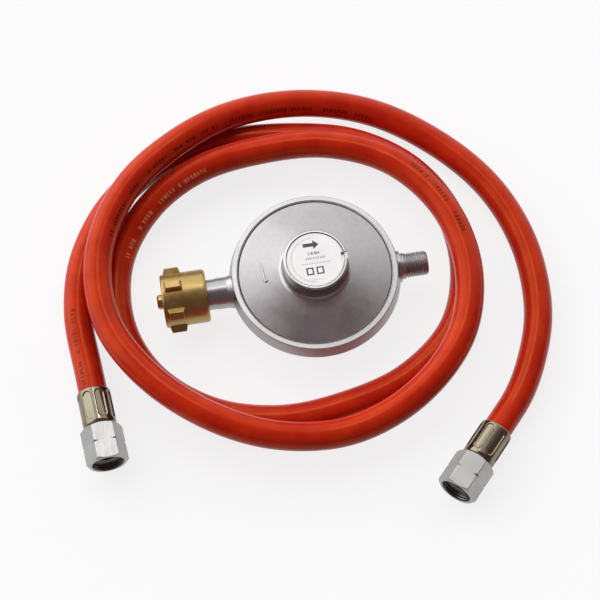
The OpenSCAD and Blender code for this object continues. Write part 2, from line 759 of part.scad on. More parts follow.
// One closed tube along a path, with a bore where r_in is more than 0.
module swept_tube(path, r_out, r_in, sides) {
    n = len(path);
    bored = r_in > 0;
    bore_r = r_in / cos(180 / sides);
    function ring(i, r) =
        let (ahead = unit(path[min(i + 1, n - 1)] - path[max(i - 1, 0)]),
             side = unit(cross(ahead, [0, 0, 1])),
             up = cross(side, ahead))
        [for (k = [0:sides - 1]) let (a = 90 + 360 * k / sides)
            path[i] + side * (r * cos(a)) + up * (r * sin(a))];
    outside = [for (i = [0:n - 1]) each ring(i, r_out)];
    inside = bored ? [for (i = [0:n - 1]) each ring(i, bore_r)] : [];
    function skin(base, flip) = [
        for (i = [0:n - 2]) for (k = [0:sides - 1])
            let (a = base + i * sides + k, b = base + i * sides + (k + 1) % sides,
                 c = b + sides, e = a + sides)
            each flip ? [[a, c, b], [a, e, c]] : [[a, b, c], [a, c, e]]
    ];
    function annulus(o, i, flip) = [
        for (k = [0:sides - 1]) let (a = o + k, b = o + (k + 1) % sides, c = i + (k + 1) % sides, e = i + k)
            each flip ? [[a, c, b], [a, e, c]] : [[a, b, c], [a, c, e]]
    ];
    function disc(o, flip) = [
        for (k = [1:sides - 2]) flip ? [o, o + k, o + k + 1] : [o, o + k + 1, o + k]
    ];
    m = n * sides;
    far = (n - 1) * sides;
    faces = bored
        ? concat(skin(0, false), skin(m, true), annulus(0, m, true), annulus(far, m + far, false))
        : concat(skin(0, false), disc(0, false), disc(far, true));
    polyhedron(points = concat(outside, inside), faces = faces, convexity = 12);
}

module hose() {
    color("orangered") swept_tube(route_points(span_steps), hose_r, hose_bore_d / 2, hose_sides);
    fine = route_points(4);
    lengths = [for (i = [1:len(fine) - 1]) norm(fine[i] - fine[i - 1])];
    echo(least_gap_of_hose = least_gap(fine, hose_d, 10));
    echo(hose_length = lengths * [for (l = lengths) 1]);
}

module ferrule(f) {
    ferrule_r = ferrule_d / 2;
    hole = neck_fit_r + fix_gap;
    mark_z = ferrule_len / 2 - mark_back;
    color("silver") at_fitting(f) difference() {
        rotate_extrude() polygon(concat(
            [[hose_r + run_gap, 0], [ferrule_r - ferrule_edge, 0], [ferrule_r, ferrule_edge]],
            arc(ferrule_r - ferrule_round, ferrule_len - ferrule_round, ferrule_round, 0, 90),
            [[hole, ferrule_len], [hole, hose_in + floor_gap], [hose_r + run_gap, hose_in + floor_gap]]
        ));
        for (i = [0:crimps - 1]) {
            rotate([0, 0, 360 / crimps * (i + 0.5)])
                translate([ferrule_r - mark_depth, 0, mark_z]) rotate([0, 90, 0]) crimp_mark();
        }
    }
}

// The long round-ended mark that one jaw of the crimping tool leaves.
module crimp_mark() {
    straight = crimp_len - crimp_w;
    linear_extrude(3) {
        square([straight, crimp_w], center = true);
        for (end = [-1, 1]) {
            translate([end * straight / 2, 0]) circle(d = crimp_w);
        }
    }
}

module nipple(f) {
    tail = hose_bore_d / 2;
    root = tail - barb_h;
    bore = nipple_bore_r;
    color("gainsboro") at_fitting(f) rotate_extrude() polygon(concat(
        [[bore, nipple_start], [root, nipple_start]],
        [for (i = [0:barbs - 1]) let (s = barb_first + barb_step * i)
            each [[root, s], [tail, s + barb_len], [root, s + barb_len + 0.1]]],
        [[root, hose_in + floor_gap], [neck_fit_r, hose_in + floor_gap], [neck_fit_r, head_start]],
        [[head_r, head_start], [head_r, head_start + head_rim]],
        [[bore + nose_wall, head_end], [bore, head_end]]
    ));
}

module hose_nut(f, turn) {
    corner_r = hex_af / sqrt(3);
    face_r = hex_af / 2 - hex_face_in;
    bore = hex_bore_d / 2;
    hole = neck_fit_r + run_gap;
    relief = bore + relief_depth;
    mouth = mouth_d / 2;
    counter = neck_r + counter_play;
    lead_z = hex_end - counter_len;
    notch_z = hex_start + hex_len / 2;
    color("gainsboro") at_fitting(f) rotate([0, 0, turn]) difference() {
        intersection() {
            translate([0, 0, hex_start]) cylinder(r = corner_r, h = hex_len, $fn = 6);
            rotate_extrude() polygon([
                [0, hex_start], [face_r, hex_start], [corner_r + 0.1, hex_start + hex_chamfer],
                [corner_r + 0.1, hex_end - hex_chamfer], [face_r, hex_end], [0, hex_end]
            ]);
        }
        rotate_extrude() polygon([
            [0, hex_start - 1], [hole, hex_start - 1], [hole, hex_start + hex_wall],
            [relief, hex_start + hex_wall], [relief, relief_end], [bore, relief_end],
            [bore, lead_z - counter_lead], [counter, lead_z], [counter, hex_end - counter_edge],
            [mouth, hex_end], [mouth, hex_end + 1], [0, hex_end + 1]
        ]);
        rotate_extrude() polygon([
            [corner_r - notch_deep, notch_z], [corner_r + notch_over, notch_z - notch_half],
            [corner_r + notch_over, notch_z + notch_half]
        ]);
    }
}

body_casting();
lid();
label_cap();
label();
adjusting_ring();
main_spring();
spring_cup();
stud_nut();
diaphragm_plate();
diaphragm();
diaphragm_stud();
lever();
lever_pin();
plunger();
seat_pad();
jet();
inlet_filter();
inlet_nose();
inlet_seal();
inlet_nut();
outlet_spigot();
hose();
ferrule(fitting_a);  // ferrule_a
ferrule(fitting_b);  // ferrule_b
nipple(fitting_a);  // nipple_a
nipple(fitting_b);  // nipple_b
hose_nut(fitting_a, turn_a);  // hose_nut_a
hose_nut(fitting_b, turn_b);  // hose_nut_b
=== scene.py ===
import bpy
import bmesh
import json
import math
from mathutils import Matrix, Vector


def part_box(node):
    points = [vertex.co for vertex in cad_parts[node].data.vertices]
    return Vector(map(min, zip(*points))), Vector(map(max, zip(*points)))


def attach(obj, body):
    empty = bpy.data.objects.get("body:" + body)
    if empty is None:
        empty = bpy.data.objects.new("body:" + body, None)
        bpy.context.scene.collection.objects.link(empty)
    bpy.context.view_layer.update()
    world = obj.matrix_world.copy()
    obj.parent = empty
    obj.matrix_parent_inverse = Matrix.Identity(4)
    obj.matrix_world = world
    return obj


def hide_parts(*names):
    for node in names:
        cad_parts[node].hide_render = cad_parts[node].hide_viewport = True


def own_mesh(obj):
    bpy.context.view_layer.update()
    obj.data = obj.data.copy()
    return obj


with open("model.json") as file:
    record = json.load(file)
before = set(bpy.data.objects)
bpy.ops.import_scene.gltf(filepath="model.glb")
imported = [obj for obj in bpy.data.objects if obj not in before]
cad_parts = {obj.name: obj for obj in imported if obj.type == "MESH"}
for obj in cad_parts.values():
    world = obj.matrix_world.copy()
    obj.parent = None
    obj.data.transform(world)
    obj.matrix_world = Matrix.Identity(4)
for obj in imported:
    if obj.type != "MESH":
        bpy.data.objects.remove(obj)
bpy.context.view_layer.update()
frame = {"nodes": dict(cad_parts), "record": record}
scene = bpy.context.scene
mm = 0.001
turn = 2 * math.pi
print("frame loaded:", len(frame["nodes"]), "nodes")


# node kit, used for materials and for Geometry Nodes alike

class Signal:
    # wraps one output socket, so that sums and products of signals add their Math nodes
    def __init__(self, graph, socket):
        self.graph = graph
        self.socket = socket

    def calc(self, operation, *others):
        sockets = {0: self}
        sockets.update({i + 1: other for i, other in enumerate(others)})
        return self.graph.add("ShaderNodeMath", {"operation": operation}, sockets)[0]

    def reflected(self, operation, other):
        return self.graph.add("ShaderNodeMath", {"operation": operation}, {0: other, 1: self})[0]

    def __add__(self, other):
        return self.calc("ADD", other)

    def __sub__(self, other):
        return self.calc("SUBTRACT", other)

    def __rsub__(self, other):
        return self.reflected("SUBTRACT", other)

    def __mul__(self, other):
        return self.calc("MULTIPLY", other)

    def __truediv__(self, other):
        return self.calc("DIVIDE", other)

    def __rtruediv__(self, other):
        return self.reflected("DIVIDE", other)

    def __gt__(self, other):
        return self.calc("GREATER_THAN", other)

    def __lt__(self, other):
        return self.calc("LESS_THAN", other)

    def __abs__(self):
        return self.calc("ABSOLUTE")

    __radd__ = __add__
    __rmul__ = __mul__

    def atLeast(self, other):
        return self.calc("MAXIMUM", other)

    def atMost(self, other):
        return self.calc("MINIMUM", other)

    def ramp(self, low, high, toLow=0.0, toHigh=1.0, kind="SMOOTHSTEP"):
        sockets = {"Value": self, "From Min": low, "From Max": high, "To Min": toLow, "To Max": toHigh}
        return self.graph.add("ShaderNodeMapRange", {"interpolation_type": kind}, sockets)[0]


class Graph:
    # a node tree; add() makes any node from its type, its settings and its sockets
    def __init__(self, tree):
        self.tree = tree

    def add(self, kind, settings=None, sockets=None):
        node = self.tree.nodes.new(kind)
        for name, value in (settings or {}).items():
            setattr(node, name, value)
        for name, value in (sockets or {}).items():
            self.feed(node.inputs[name], value)
        return Outputs(self, node)

    def feed(self, socket, value):
        if isinstance(value, Signal):
            self.tree.links.new(value.socket, socket)
        else:
            socket.default_value = value

    def blendColor(self, factor, first, second):
        # a Mix node's colours are its inputs 6 and 7 and its output 2
        return self.add("ShaderNodeMix", {"data_type": "RGBA"}, {0: factor, 6: first, 7: second})[2]

    def vector(self, operation, first, second=None, scale=None):
        sockets = {0: first}
        if second is not None:
            sockets[1] = second
        if scale is not None:
            sockets["Scale"] = scale
        return self.add("ShaderNodeVectorMath", {"operation": operation}, sockets)

    def split(self, vector):
        return self.add("ShaderNodeSeparateXYZ", None, {0: vector})

    def join(self, x, y, z):
        return self.add("ShaderNodeCombineXYZ", None, {0: x, 1: y, 2: z})[0]


class Outputs:
    # the outputs of one node, by name or by number
    def __init__(self, graph, node):
        self.graph = graph
        self.node = node

    def __getitem__(self, name):
        return Signal(self.graph, self.node.outputs[name])


def hypotenuse(x, y):
    return (x * x + y * y).calc("SQRT")


def linear(part):
    share = part / 255
    return share / 12.92 if part <= 10 else ((share + 0.055) / 1.055) ** 2.4


def srgb(red, green, blue):
    # a screen colour, each part from 0 to 255, as the colour that a socket takes
    return (linear(red), linear(green), linear(blue), 1.0)


def shaded(tone, factor, lift=0.0):
    # the same colour, darker or lighter
    return tuple(min(1.0, part * factor + lift) for part in tone[:3]) + (1.0,)


class Finish(Graph):
    # a material with one Principled shader, and the coordinates that its patterns read
    def __init__(self, name, **uniform):
        self.material = bpy.data.materials.new(name)
        self.material.use_nodes = True
        super().__init__(self.material.node_tree)
        self.tree.nodes.clear()
        self.shader = self.add("ShaderNodeBsdfPrincipled")
        output = self.add("ShaderNodeOutputMaterial")
        self.tree.links.new(self.shader[0].socket, output.node.inputs[0])
        self.place = self.add("ShaderNodeTexCoord")["Object"]
        for socket, value in uniform.items():
            self.set(socket, value)

    def set(self, socket, value):
        names = {"base": "Base Color", "roughness": "Roughness", "metallic": "Metallic", "normal": "Normal",
                 "specular": "Specular IOR Level", "glint": "Specular Tint"}
        self.feed(self.shader.node.inputs[names[socket]], value)

    def noise(self, scale, detail, roughness=0.5, vector=None):
        sockets = {"Vector": vector or self.place, "Scale": scale, "Detail": detail, "Roughness": roughness}
        return self.add("ShaderNodeTexNoise", None, sockets)[0]

    def cells(self, scale):
        return self.add("ShaderNodeTexVoronoi", None, {"Vector": self.place, "Scale": scale})["Distance"]

    def luck(self, number):
        # a random share from 0 to 1 that goes with the number
        return self.add("ShaderNodeTexWhiteNoise", {"noise_dimensions": "1D"}, {"W": number})[0]

    def stored(self, name):
        # the three parts of a vector that a tree stored on the mesh
        return self.split(self.add("ShaderNodeAttribute", {"attribute_name": name})["Vector"])

    def bump(self, height, depth, strength):
        # depth in mm
        sockets = {"Height": height, "Distance": depth * mm, "Strength": strength}
        self.set("normal", self.add("ShaderNodeBump", None, sockets)[0])


# mesh kit

def closeShell(mesh):
    # merges doubles and turns every face outwards
    shell = bmesh.new()
    shell.from_mesh(mesh)
    bmesh.ops.remove_doubles(shell, verts=shell.verts, dist=1e-7)
    bmesh.ops.recalc_face_normals(shell, faces=shell.faces)
    shell.to_mesh(mesh)
    shell.free()


def plainMesh(name, points, faces):
    mesh = bpy.data.meshes.new(name)
    mesh.from_pydata([tuple(point) for point in points], [], faces)
    closeShell(mesh)
    return mesh


def softened(corners, steps):
    # a closed outline of (along, radius, rounding); every rounded corner becomes a short curve
    edgeShare = 0.48                         # the most of an edge that one rounding takes
    points = []
    for i, (along, radius, width) in enumerate(corners):
        here = Vector((along, radius))
        if width == 0:
            points.append(here)
            continue
        arms = [Vector(corners[i - 1][:2]) - here, Vector(corners[(i + 1) % len(corners)][:2]) - here]
        start, end = [here + arm.normalized() * min(width, arm.length * edgeShare) for arm in arms]
        for k in range(steps + 1):
            t = k / steps
            points.append(start * (1 - t) ** 2 + here * 2 * t * (1 - t) + end * t * t)
    return points


def loftRound(name, outlineAt, angles):
    # skins closed outlines of (along, radius) that stand round the Z axis; sizes in mm
    rings = [outlineAt(angle) for angle in angles]
    count = len(rings[0])
    points = [(r * math.cos(a) * mm, r * math.sin(a) * mm, s * mm)
              for a, ring in zip(angles, rings) for s, r in ring]
    faces = []
    for column in range(len(angles)):
        here = column * count
        there = (column + 1) % len(angles) * count
        for row in range(count):
            after = (row + 1) % count
            faces.append((here + row, here + after, there + after, there + row))
    return plainMesh(name, points, faces)


def evenAngles(count):
    return [turn * i / count for i in range(count)]


def evenRows(start, end, radius, step):
    # corners at one radius, close enough together for what is cut or pressed there
    rows = max(1, round(abs(end - start) / step))
    return [(start + (end - start) * i / rows, radius, 0) for i in range(rows + 1)]


def runTree(name, mesh, tree, finish, settings):
    # runs a Geometry Nodes tree on a mesh and returns the plain result
    values = {"Material": finish.material, **settings}
    carrier = bpy.data.objects.new(name, mesh)
    scene.collection.objects.link(carrier)
    modifier = carrier.modifiers.new("build", "NODES")
    modifier.node_group = tree
    for item in tree.interface.items_tree:
        if item.in_out == "INPUT" and item.name in values:
            modifier[item.identifier] = values[item.name]
    result = evaluatedMesh(carrier)
    carrier.modifiers.remove(modifier)
    bpy.data.objects.remove(carrier)
    return result


def evaluatedMesh(carrier):
    seen = carrier.evaluated_get(bpy.context.evaluated_depsgraph_get())
    return bpy.data.meshes.new_from_object(seen)


def makePiece(name, mesh, finish, body, stands=(), sharp=35.0, matrix=None):
    # places, shades and paints a mesh, and sets it on its body; edges over sharp degrees stay crisp
    if matrix is not None:
        mesh.transform(matrix)
    mesh.shade_smooth()
    mesh.set_sharp_from_angle(angle=math.radians(sharp))
    mesh.materials.clear()
    mesh.materials.append(finish.material)
    piece = bpy.data.objects.new(name, mesh)
    scene.collection.objects.link(piece)
    weigh = piece.modifiers.new("weigh", "WEIGHTED_NORMAL")
    weigh.keep_sharp = True
    baked = evaluatedMesh(piece)
    piece.modifiers.remove(weigh)
    piece.data = baked
    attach(piece, body)
    if stands:
        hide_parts(*stands)
    print("piece", name, len(baked.polygons), "faces")
    return piece


def newTree(name, inputs):
    # an empty Geometry Nodes group; inputs holds the kind of each named input
    tree = bpy.data.node_groups.new(name, "GeometryNodeTree")
    for label, kind in {"Geometry": "Geometry", **inputs, "Material": "Material"}.items():
        tree.interface.new_socket(label, in_out="INPUT", socket_type="NodeSocket" + kind)
    tree.interface.new_socket("Geometry", in_out="OUTPUT", socket_type="NodeSocketGeometry")
    graph = Graph(tree)
    return tree, graph, graph.add("NodeGroupInput")


def endTree(graph, given, geometry):
    realized = graph.add("GeometryNodeRealizeInstances", None, {0: geometry})[0]
    sockets = {"Geometry": realized, "Material": given["Material"]}
    painted = graph.add("GeometryNodeSetMaterial", None, sockets)[0]
    graph.add("NodeGroupOutput", None, {0: painted})


def endMoved(graph, given, geometry, place):
    # ends a tree with every point moved to its place
    sockets = {"Geometry": geometry, "Position": place}
    endTree(graph, given, graph.add("GeometryNodeSetPosition", None, sockets)[0])


def storeVector(graph, geometry, name, value):
    # keeps a vector on every point, for a finish to read
    settings = {"data_type": "FLOAT_VECTOR", "domain": "POINT"}
    sockets = {"Geometry": geometry, "Name": name, "Value": value}
    return graph.add("GeometryNodeStoreNamedAttribute", settings, sockets)[0]


# finishes

# a rougher ring on the seam bevel; its lighter tone is painted light over a bevel that reflects dark
seamRingPaintedLight = {"inner": 40.2, "outer": 40.95, "above": 20.0, "tone": srgb(206, 204, 204), "roughness": 0.75}


def castZinc(name, tone, roughness, grain=1.0, withSeamRingPaintedLight=False):
    # satin die-cast zinc: fine grain and soft clouding, and where asked, a rougher ring on the seam bevel
    # whose lighter colour is painted light
    finish = Finish(name, metallic=1.0)
    cloud = finish.noise(60, 3)
    mottle = finish.noise(420, 4, 0.55)
    fine = finish.noise(2800, 2)
    shade = cloud.ramp(0.3, 0.7) * 0.45 + mottle.ramp(0.25, 0.75) * 0.55
    body = finish.blendColor(shade, shaded(tone, 0.91), shaded(tone, 1.06))
    polish = cloud.ramp(0.3, 0.7, roughness - 0.02, roughness + 0.03) + mottle * 0.04 - 0.02
    if withSeamRingPaintedLight:
        # on the ring the colour goes lighter, as painted light, and the surface rougher
        xyz = finish.split(finish.place)
        radius = hypotenuse(xyz[0], xyz[1])
        ring = (radius > seamRingPaintedLight["inner"] * mm) * (radius < seamRingPaintedLight["outer"] * mm)
        ring = ring * (xyz[2] > seamRingPaintedLight["above"] * mm)
        body = finish.blendColor(ring, body, seamRingPaintedLight["tone"])
        polish = ring.ramp(0.0, 1.0, polish, seamRingPaintedLight["roughness"])
    finish.set("base", body)
    finish.set("roughness", polish)
    finish.bump(mottle * 0.5 + fine * 0.5, 0.04 * grain, 0.5)
    return finish


def turnedMetal(name, tone, roughness, axis):
    # turned on a lathe: fine rings along the axis, a little tarnish
    finish = Finish(name, metallic=1.0)
    along = finish.split(finish.place)[axis]
    ringLine = finish.noise(2600, 3, 0.6, finish.join(along, 0.0, 0.0))
    tarnish = finish.noise(140, 4, 0.6)
    shade = tarnish.ramp(0.35, 0.7) * 0.7 + ringLine * 0.3
    tarnished = tuple(part * left for part, left in zip(tone, (0.84, 0.78, 0.66, 1.0)))
    finish.set("base", finish.blendColor(shade, tarnished, tone))
    finish.set("roughness", tarnish.ramp(0.3, 0.75, roughness - 0.04, roughness + 0.08) + ringLine * 0.05)
    finish.bump(ringLine, 0.03, 0.5)
    return finish


# the bore's colour: bare metal, darkened further as painted shade inside the hole
bareBoreAndShade = {"tone": srgb(104, 99, 96), "roughness": 0.32, "blur": 0.1}


def platedMetal(name, tone, roughness, boreRadius=0.0):
    # bright plating: slight ripple, hairline scratches, and where it has a bore, a darker bore of bare metal
    # with painted shade in the hole
    finish = Finish(name, metallic=1.0)
    ripple = finish.noise(260, 2)
    hair = finish.noise(900, 4, 0.7, finish.vector("MULTIPLY", finish.place, (1.0, 0.12, 0.5))[0])
    cloud = finish.noise(90, 3)
    body = finish.blendColor(cloud.ramp(0.3, 0.7) * 0.6 + hair * 0.4, shaded(tone, 0.8), tone)
    polish = hair.ramp(0.35, 0.75, roughness, roughness + 0.1) + cloud * 0.04
    if boreRadius:
        # within the bore radius the colour goes darker: bare metal and painted shade in the hole
        stock = finish.stored("turnedPlace")
        blur = bareBoreAndShade["blur"] * mm
        inside = (hypotenuse(stock[0], stock[1]) - boreRadius * mm).ramp(-blur, blur, 1.0, 0.0)
        body = finish.blendColor(inside, body, bareBoreAndShade["tone"])
        polish = inside.ramp(0.0, 1.0, polish, bareBoreAndShade["roughness"])
    finish.set("base", body)
    finish.set("roughness", polish)
    finish.bump(ripple * 0.7 + hair * 0.3, 0.04, 0.35)
    return finish


def softRubber(name, tone, roughness):
    # dull rubber with a little dust
    finish = Finish(name, specular=0.4)
    dust = finish.noise(500, 4, 0.6)
    grain = finish.noise(2200, 2)
    finish.set("base", finish.blendColor(dust.ramp(0.35, 0.75), tone, shaded(tone, 1.35, 0.01)))
    finish.set("roughness", grain.ramp(0.3, 0.7, roughness - 0.05, roughness + 0.07))
    finish.bump(grain * 0.5 + dust * 0.5, 0.06, 0.5)
    return finish


def sinteredBronze(name, tone, gapShadeTone):
    # small balls pressed together, with painted shade in the gaps between them
    finish = Finish(name, metallic=1.0)
    gap = finish.cells(2600)
    # the gap colour is painted shade between the balls
    finish.set("base", finish.blendColor(gap.ramp(0.1, 0.6), tone, gapShadeTone))
    finish.set("roughness", gap.ramp(0.0, 0.7, 0.35, 0.7))
    finish.bump(1 - gap, 0.15, 0.8)
    return finish


def mouldedPlastic(name, tone, roughness):
    # smooth plastic with the fine texture of its mould
    finish = Finish(name, specular=0.5)
    texture = finish.noise(3000, 2)
    cloud = finish.noise(120, 2)
    finish.set("base", finish.blendColor(cloud.ramp(0.3, 0.7), shaded(tone, 0.93), tone))
    finish.set("roughness", texture.ramp(0.3, 0.7, roughness - 0.04, roughness + 0.06))
    finish.bump(texture, 0.03, 0.4)
    return finish


hoseRadius = 7.5
hoseSkin = {
    "orange": srgb(201, 46, 20),
    "deep": srgb(184, 32, 18),
    "glint": srgb(255, 186, 110),
    "darkInk": srgb(74, 16, 14),
    # print lightened by a painted highlight, where the ink catches the light
    "paleInk": srgb(206, 150, 104),
    "inkShare": 0.8,
    "drawn": 0.06,                           # scale of the drawn lines along the hose, against 1 round it
    "dashHigh": 2.3,
    "dash": 2.1,
    "word": 18.5,
    "blur": 0.2,
}
# stretches of print: both ends along the hose in metres, its place round the hose there in degrees, its ink
printed = [
    (0.015, 0.065, -122, -104, "darkInk"),
    (0.336, 0.372, -30, -30, "darkInk"),
    (0.664, 0.738, -54, -50, "paleInk"),
    # this stretch's print carries a painted highlight
    (0.852, 0.905, -106, -98, "darkInk"),
    (1.232, 1.418, -44, -35, "darkInk"),
]


def hoseFinish():
    # extruded orange rubber; the stored vector gives the place round the hose and along it
    skin = hoseSkin
    finish = Finish("hoseRubber", specular=0.35, glint=skin["glint"])
    spot = finish.stored("hoseFace")
    across, over, along = spot[0], spot[1], spot[2]
    radius = hoseRadius * mm
    skinPlace = finish.join(across * radius, over * radius, along * skin["drawn"])
    drawLines = finish.noise(1500, 3, 0.6, skinPlace)
    cloud = finish.noise(70, 3)
    grain = finish.noise(1800, 2)
    dash = along / (skin["dash"] * mm)
    word = along / (skin["word"] * mm)
    dashLuck = finish.luck(dash.calc("FLOOR"))
    wordLuck = finish.luck(word.calc("FLOOR") + 0.5)
    inWord = word.calc("FRACT") < (wordLuck * 0.4 + 0.55)
    stroke = (dash.calc("FRACT") < (dashLuck * 0.35 + 0.45)) * (dashLuck > 0.1) * inWord
    worn = finish.noise(700, 3).ramp(0.3, 0.6, 0.45, 1.0) * stroke
    half, blur = skin["dashHigh"] / 2 * mm, skin["blur"] * mm
    body = finish.blendColor(cloud.ramp(0.3, 0.7), skin["deep"], skin["orange"])
    body = finish.blendColor(drawLines.ramp(0.3, 0.8, 0.0, 0.3), body, skin["deep"])
    for start, end, startAngle, endAngle, ink in printed:
        angle = along.ramp(start, end, math.radians(startAngle), math.radians(endAngle), "LINEAR")
        cosine, sine = angle.calc("COSINE"), angle.calc("SINE")
        facing = across * cosine + over * sine
        offset = abs(over * cosine - across * sine) * radius
        inBand = offset.ramp(half - blur, half + blur, 1.0, 0.0) * (facing > 0)
        inBand = inBand * (along > start) * (along < end)
        body = finish.blendColor(inBand * worn * skin["inkShare"], body, skin[ink])
    finish.set("base", body)
    finish.set("roughness", drawLines.ramp(0.3, 0.7, 0.15, 0.24) + cloud * 0.05)
    finish.bump(drawLines * 0.7 + grain * 0.3, 0.04, 0.5)
    return finish


labelPrint = {
    "white": srgb(250, 250, 250),
    "cloud": srgb(243, 243, 244),
    "ink": srgb(24, 24, 26),
    "grey": srgb(140, 140, 142),
    "blur": 0.05,
    "shaft": (-2.6, 8.4, 2.6, 1.0),          # the arrow's: centre, half length, half height
    "head": 3.0,
    "headSlope": 0.85,
    "frames": [(-3.6, -6.2), (1.6, -6.2)],
    "frameOutside": (1.9, 2.1),
    "frameInside": (1.15, 1.35),
    "rows": [                                # place, height, both ends, dash length, share inked, darkness
        (3.6, 1.5, -3.2, 2.6, 1.9, 0.72, 1.0),
        (0.9, 1.2, -4.8, 5.2, 1.25, 0.62, 0.75),
        (-2.0, 0.8, -7.6, 7.8, 1.0, 0.6, 0.5),
        (-11.0, 0.8, -3.4, 3.6, 1.1, 0.55, 0.4),
    ],
    "ringRadius": 12.4,
    "ringHeight": 0.9,
    "ringTicks": 26.0,                       # to a radian
    "ringFade": (1.3, 1.7),                  # radians from the middle of the ring of ticks
    "ringDarkness": 0.55,
}


def labelFinish():
    # white printed foil with an arrow, two boxes, dashes and ticks
    art = labelPrint
    finish = Finish("labelFoil", roughness=0.32, specular=0.5)
    xyz = finish.split(finish.place)
    x, y = xyz[0], xyz[1]
    blur = art["blur"] * mm

    def box(centreX, centreY, halfX, halfY):
        sideways = abs(x - centreX * mm).ramp(halfX * mm - blur, halfX * mm + blur, 1.0, 0.0)
        return sideways * abs(y - centreY * mm).ramp(halfY * mm - blur, halfY * mm + blur, 1.0, 0.0)

    along = x / mm
    across = abs(y / mm - art["shaft"][1])
    inHead = (across - (art["head"] - along) * art["headSlope"]).ramp(-art["blur"], art["blur"], 1.0, 0.0)
    dark = box(*art["shaft"]).atLeast(inHead * (along > 0.0) * (along < art["head"]))
    for centre in art["frames"]:
        dark = dark.atLeast(box(*centre, *art["frameOutside"]) - box(*centre, *art["frameInside"]))
    angle = y.calc("ARCTAN2", x)
    tick = angle * art["ringTicks"]
    stroke = tick.calc("FRACT") < (finish.luck(tick.calc("FLOOR")) * 0.4 + 0.35)
    half = art["ringHeight"] / 2 * mm
    fromRing = abs(hypotenuse(x, y) - art["ringRadius"] * mm)
    fade = abs(abs(angle) - math.pi).ramp(*art["ringFade"], art["ringDarkness"], 0.0)
    faint = fromRing.ramp(half - blur, half + blur, 1.0, 0.0) * stroke * fade
    for i, (centreY, height, left, right, length, share, darkness) in enumerate(art["rows"]):
        dash = x / (length * mm)
        luck = finish.luck(dash.calc("FLOOR") + 40.0 * i)
        stroke = dash.calc("FRACT") < (luck * 0.3 + share - 0.1)
        row = box((left + right) / 2, centreY, (right - left) / 2, height / 2) * stroke * darkness
        faint = faint.atLeast(row)
    body = finish.blendColor(finish.noise(150, 2).ramp(0.3, 0.7), art["cloud"], art["white"])
    body = finish.blendColor(faint, body, art["grey"])
    finish.set("base", finish.blendColor(dark, body, art["ink"]))
    finish.bump(finish.noise(1600, 2), 0.02, 0.3)
    return finish


finishes = {
    "zinc_casting": castZinc("castHousing", srgb(172, 171, 172), 0.34, 0.6, withSeamRingPaintedLight=True),
    "zinc_lid": castZinc("castLid", srgb(168, 166, 167), 0.29, 0.3),
    "zinc_dark": castZinc("castSpigot", srgb(166, 162, 162), 0.44),
    "cap_plastic": mouldedPlastic("capPlastic", srgb(236, 236, 236), 0.42),
    "label_white": labelFinish(),
    "brass": turnedMetal("turnedBrass", srgb(206, 168, 98), 0.24, 0),
    "yellow_brass": turnedMetal("forgedBrass", srgb(183, 159, 104), 0.34, 0),
    # the second colour is painted shade in the gaps between the balls
    "bronze_filter": sinteredBronze("filterBronze", srgb(196, 140, 88), srgb(96, 62, 36)),
    "spring_steel": turnedMetal("springSteel", srgb(120, 120, 124), 0.35, 2),
    "plated_steel": platedMetal("platedSteel", srgb(190, 190, 188), 0.24),
    "plated_ferrule": platedMetal("platedFerrule", srgb(136, 128, 110), 0.13),
    # within 8.3 mm of the axis the nut's bore is darkened, partly as painted shade
    "nickel_nut": platedMetal("nickelNut", srgb(176, 175, 174), 0.27, 8.3),
    "black_rubber": softRubber("sealRubber", srgb(30, 30, 32), 0.6),
    "hose_rubber": hoseFinish(),
}
print("finishes made:", len(finishes))


# the hose, laid along its route

hoseSizes = {
    "radius": hoseRadius, "bore": 4.0, "inFerrule": 18.5, "lead": 15.0, "sides": 40, "ringStep": 2.4,
    "spanSteps": 16,
}
fittingSizes = {"height": 8.85, "tilt": 5.0}
fittingA = {"x": -123.0, "y": -41.0, "heading": -85.0, "nutTurn": 21.0}
fittingB = {"x": 79.0, "y": -94.0, "heading": 227.0, "nutTurn": 33.0}
hoseRoute = [
    (-126, 6, 7.5), (-119, 37, 7.5), (-100, 66, 7.5), (-71, 86, 7.5), (-36, 93, 7.5),
    (0, 91, 7.5), (35, 82, 7.5), (63, 61, 7.5), (79, 30, 7.5), (80, -5, 7.5),
    (67, -36, 7.5), (39, -58, 7.5), (5, -68, 7.5), (-30, -70, 7.5), (-64, -60, 7.5),
    (-91, -37, 7.5), (-104, -6, 7.5), (-101, 29, 8.5), (-82, 57, 12), (-53, 74, 16),
    (-18, 79, 19), (19, 76, 21), (52, 59, 23), (74, 28, 24), (80, -9, 24),
    (69, -45, 24), (41, -72, 21.5), (5, -85, 18.5), (-33, -82, 20), (-67, -66, 23),
    (-95, -39, 23.5), (-111, -6, 22.5), (-110, 32, 22.5), (-91, 66, 24), (-60, 89, 24.5),
    (-26, 103, 20.5), (12, 106, 15), (48, 97, 10), (79, 75, 7.5), (103, 44, 7.5),
    (115, 8, 7.5), (115, -29, 7.5), (105, -59, 7.5),
]


def fittingAxis(fitting):
    heading = math.radians(fitting["heading"])
    tilt = math.radians(fittingSizes["tilt"])
    return Vector((math.cos(heading) * math.cos(tilt), math.sin(heading) * math.cos(tilt), math.sin(tilt)))


def fittingPoint(fitting, along):
    return Vector((fitting["x"], fitting["y"], fittingSizes["height"])) + fittingAxis(fitting) * along


def fittingMatrix(fitting, spin=0.0):
    # takes a piece made along +Z in metres to the axis of one end of the hose
    place = Matrix.Translation(fittingPoint(fitting, 0) * mm)
    heading = Matrix.Rotation(math.radians(fitting["heading"]), 4, "Z")
    tilt = Matrix.Rotation(math.radians(90 - fittingSizes["tilt"]), 4, "Y")
    return place @ heading @ tilt @ Matrix.Rotation(math.radians(spin), 4, "Z")


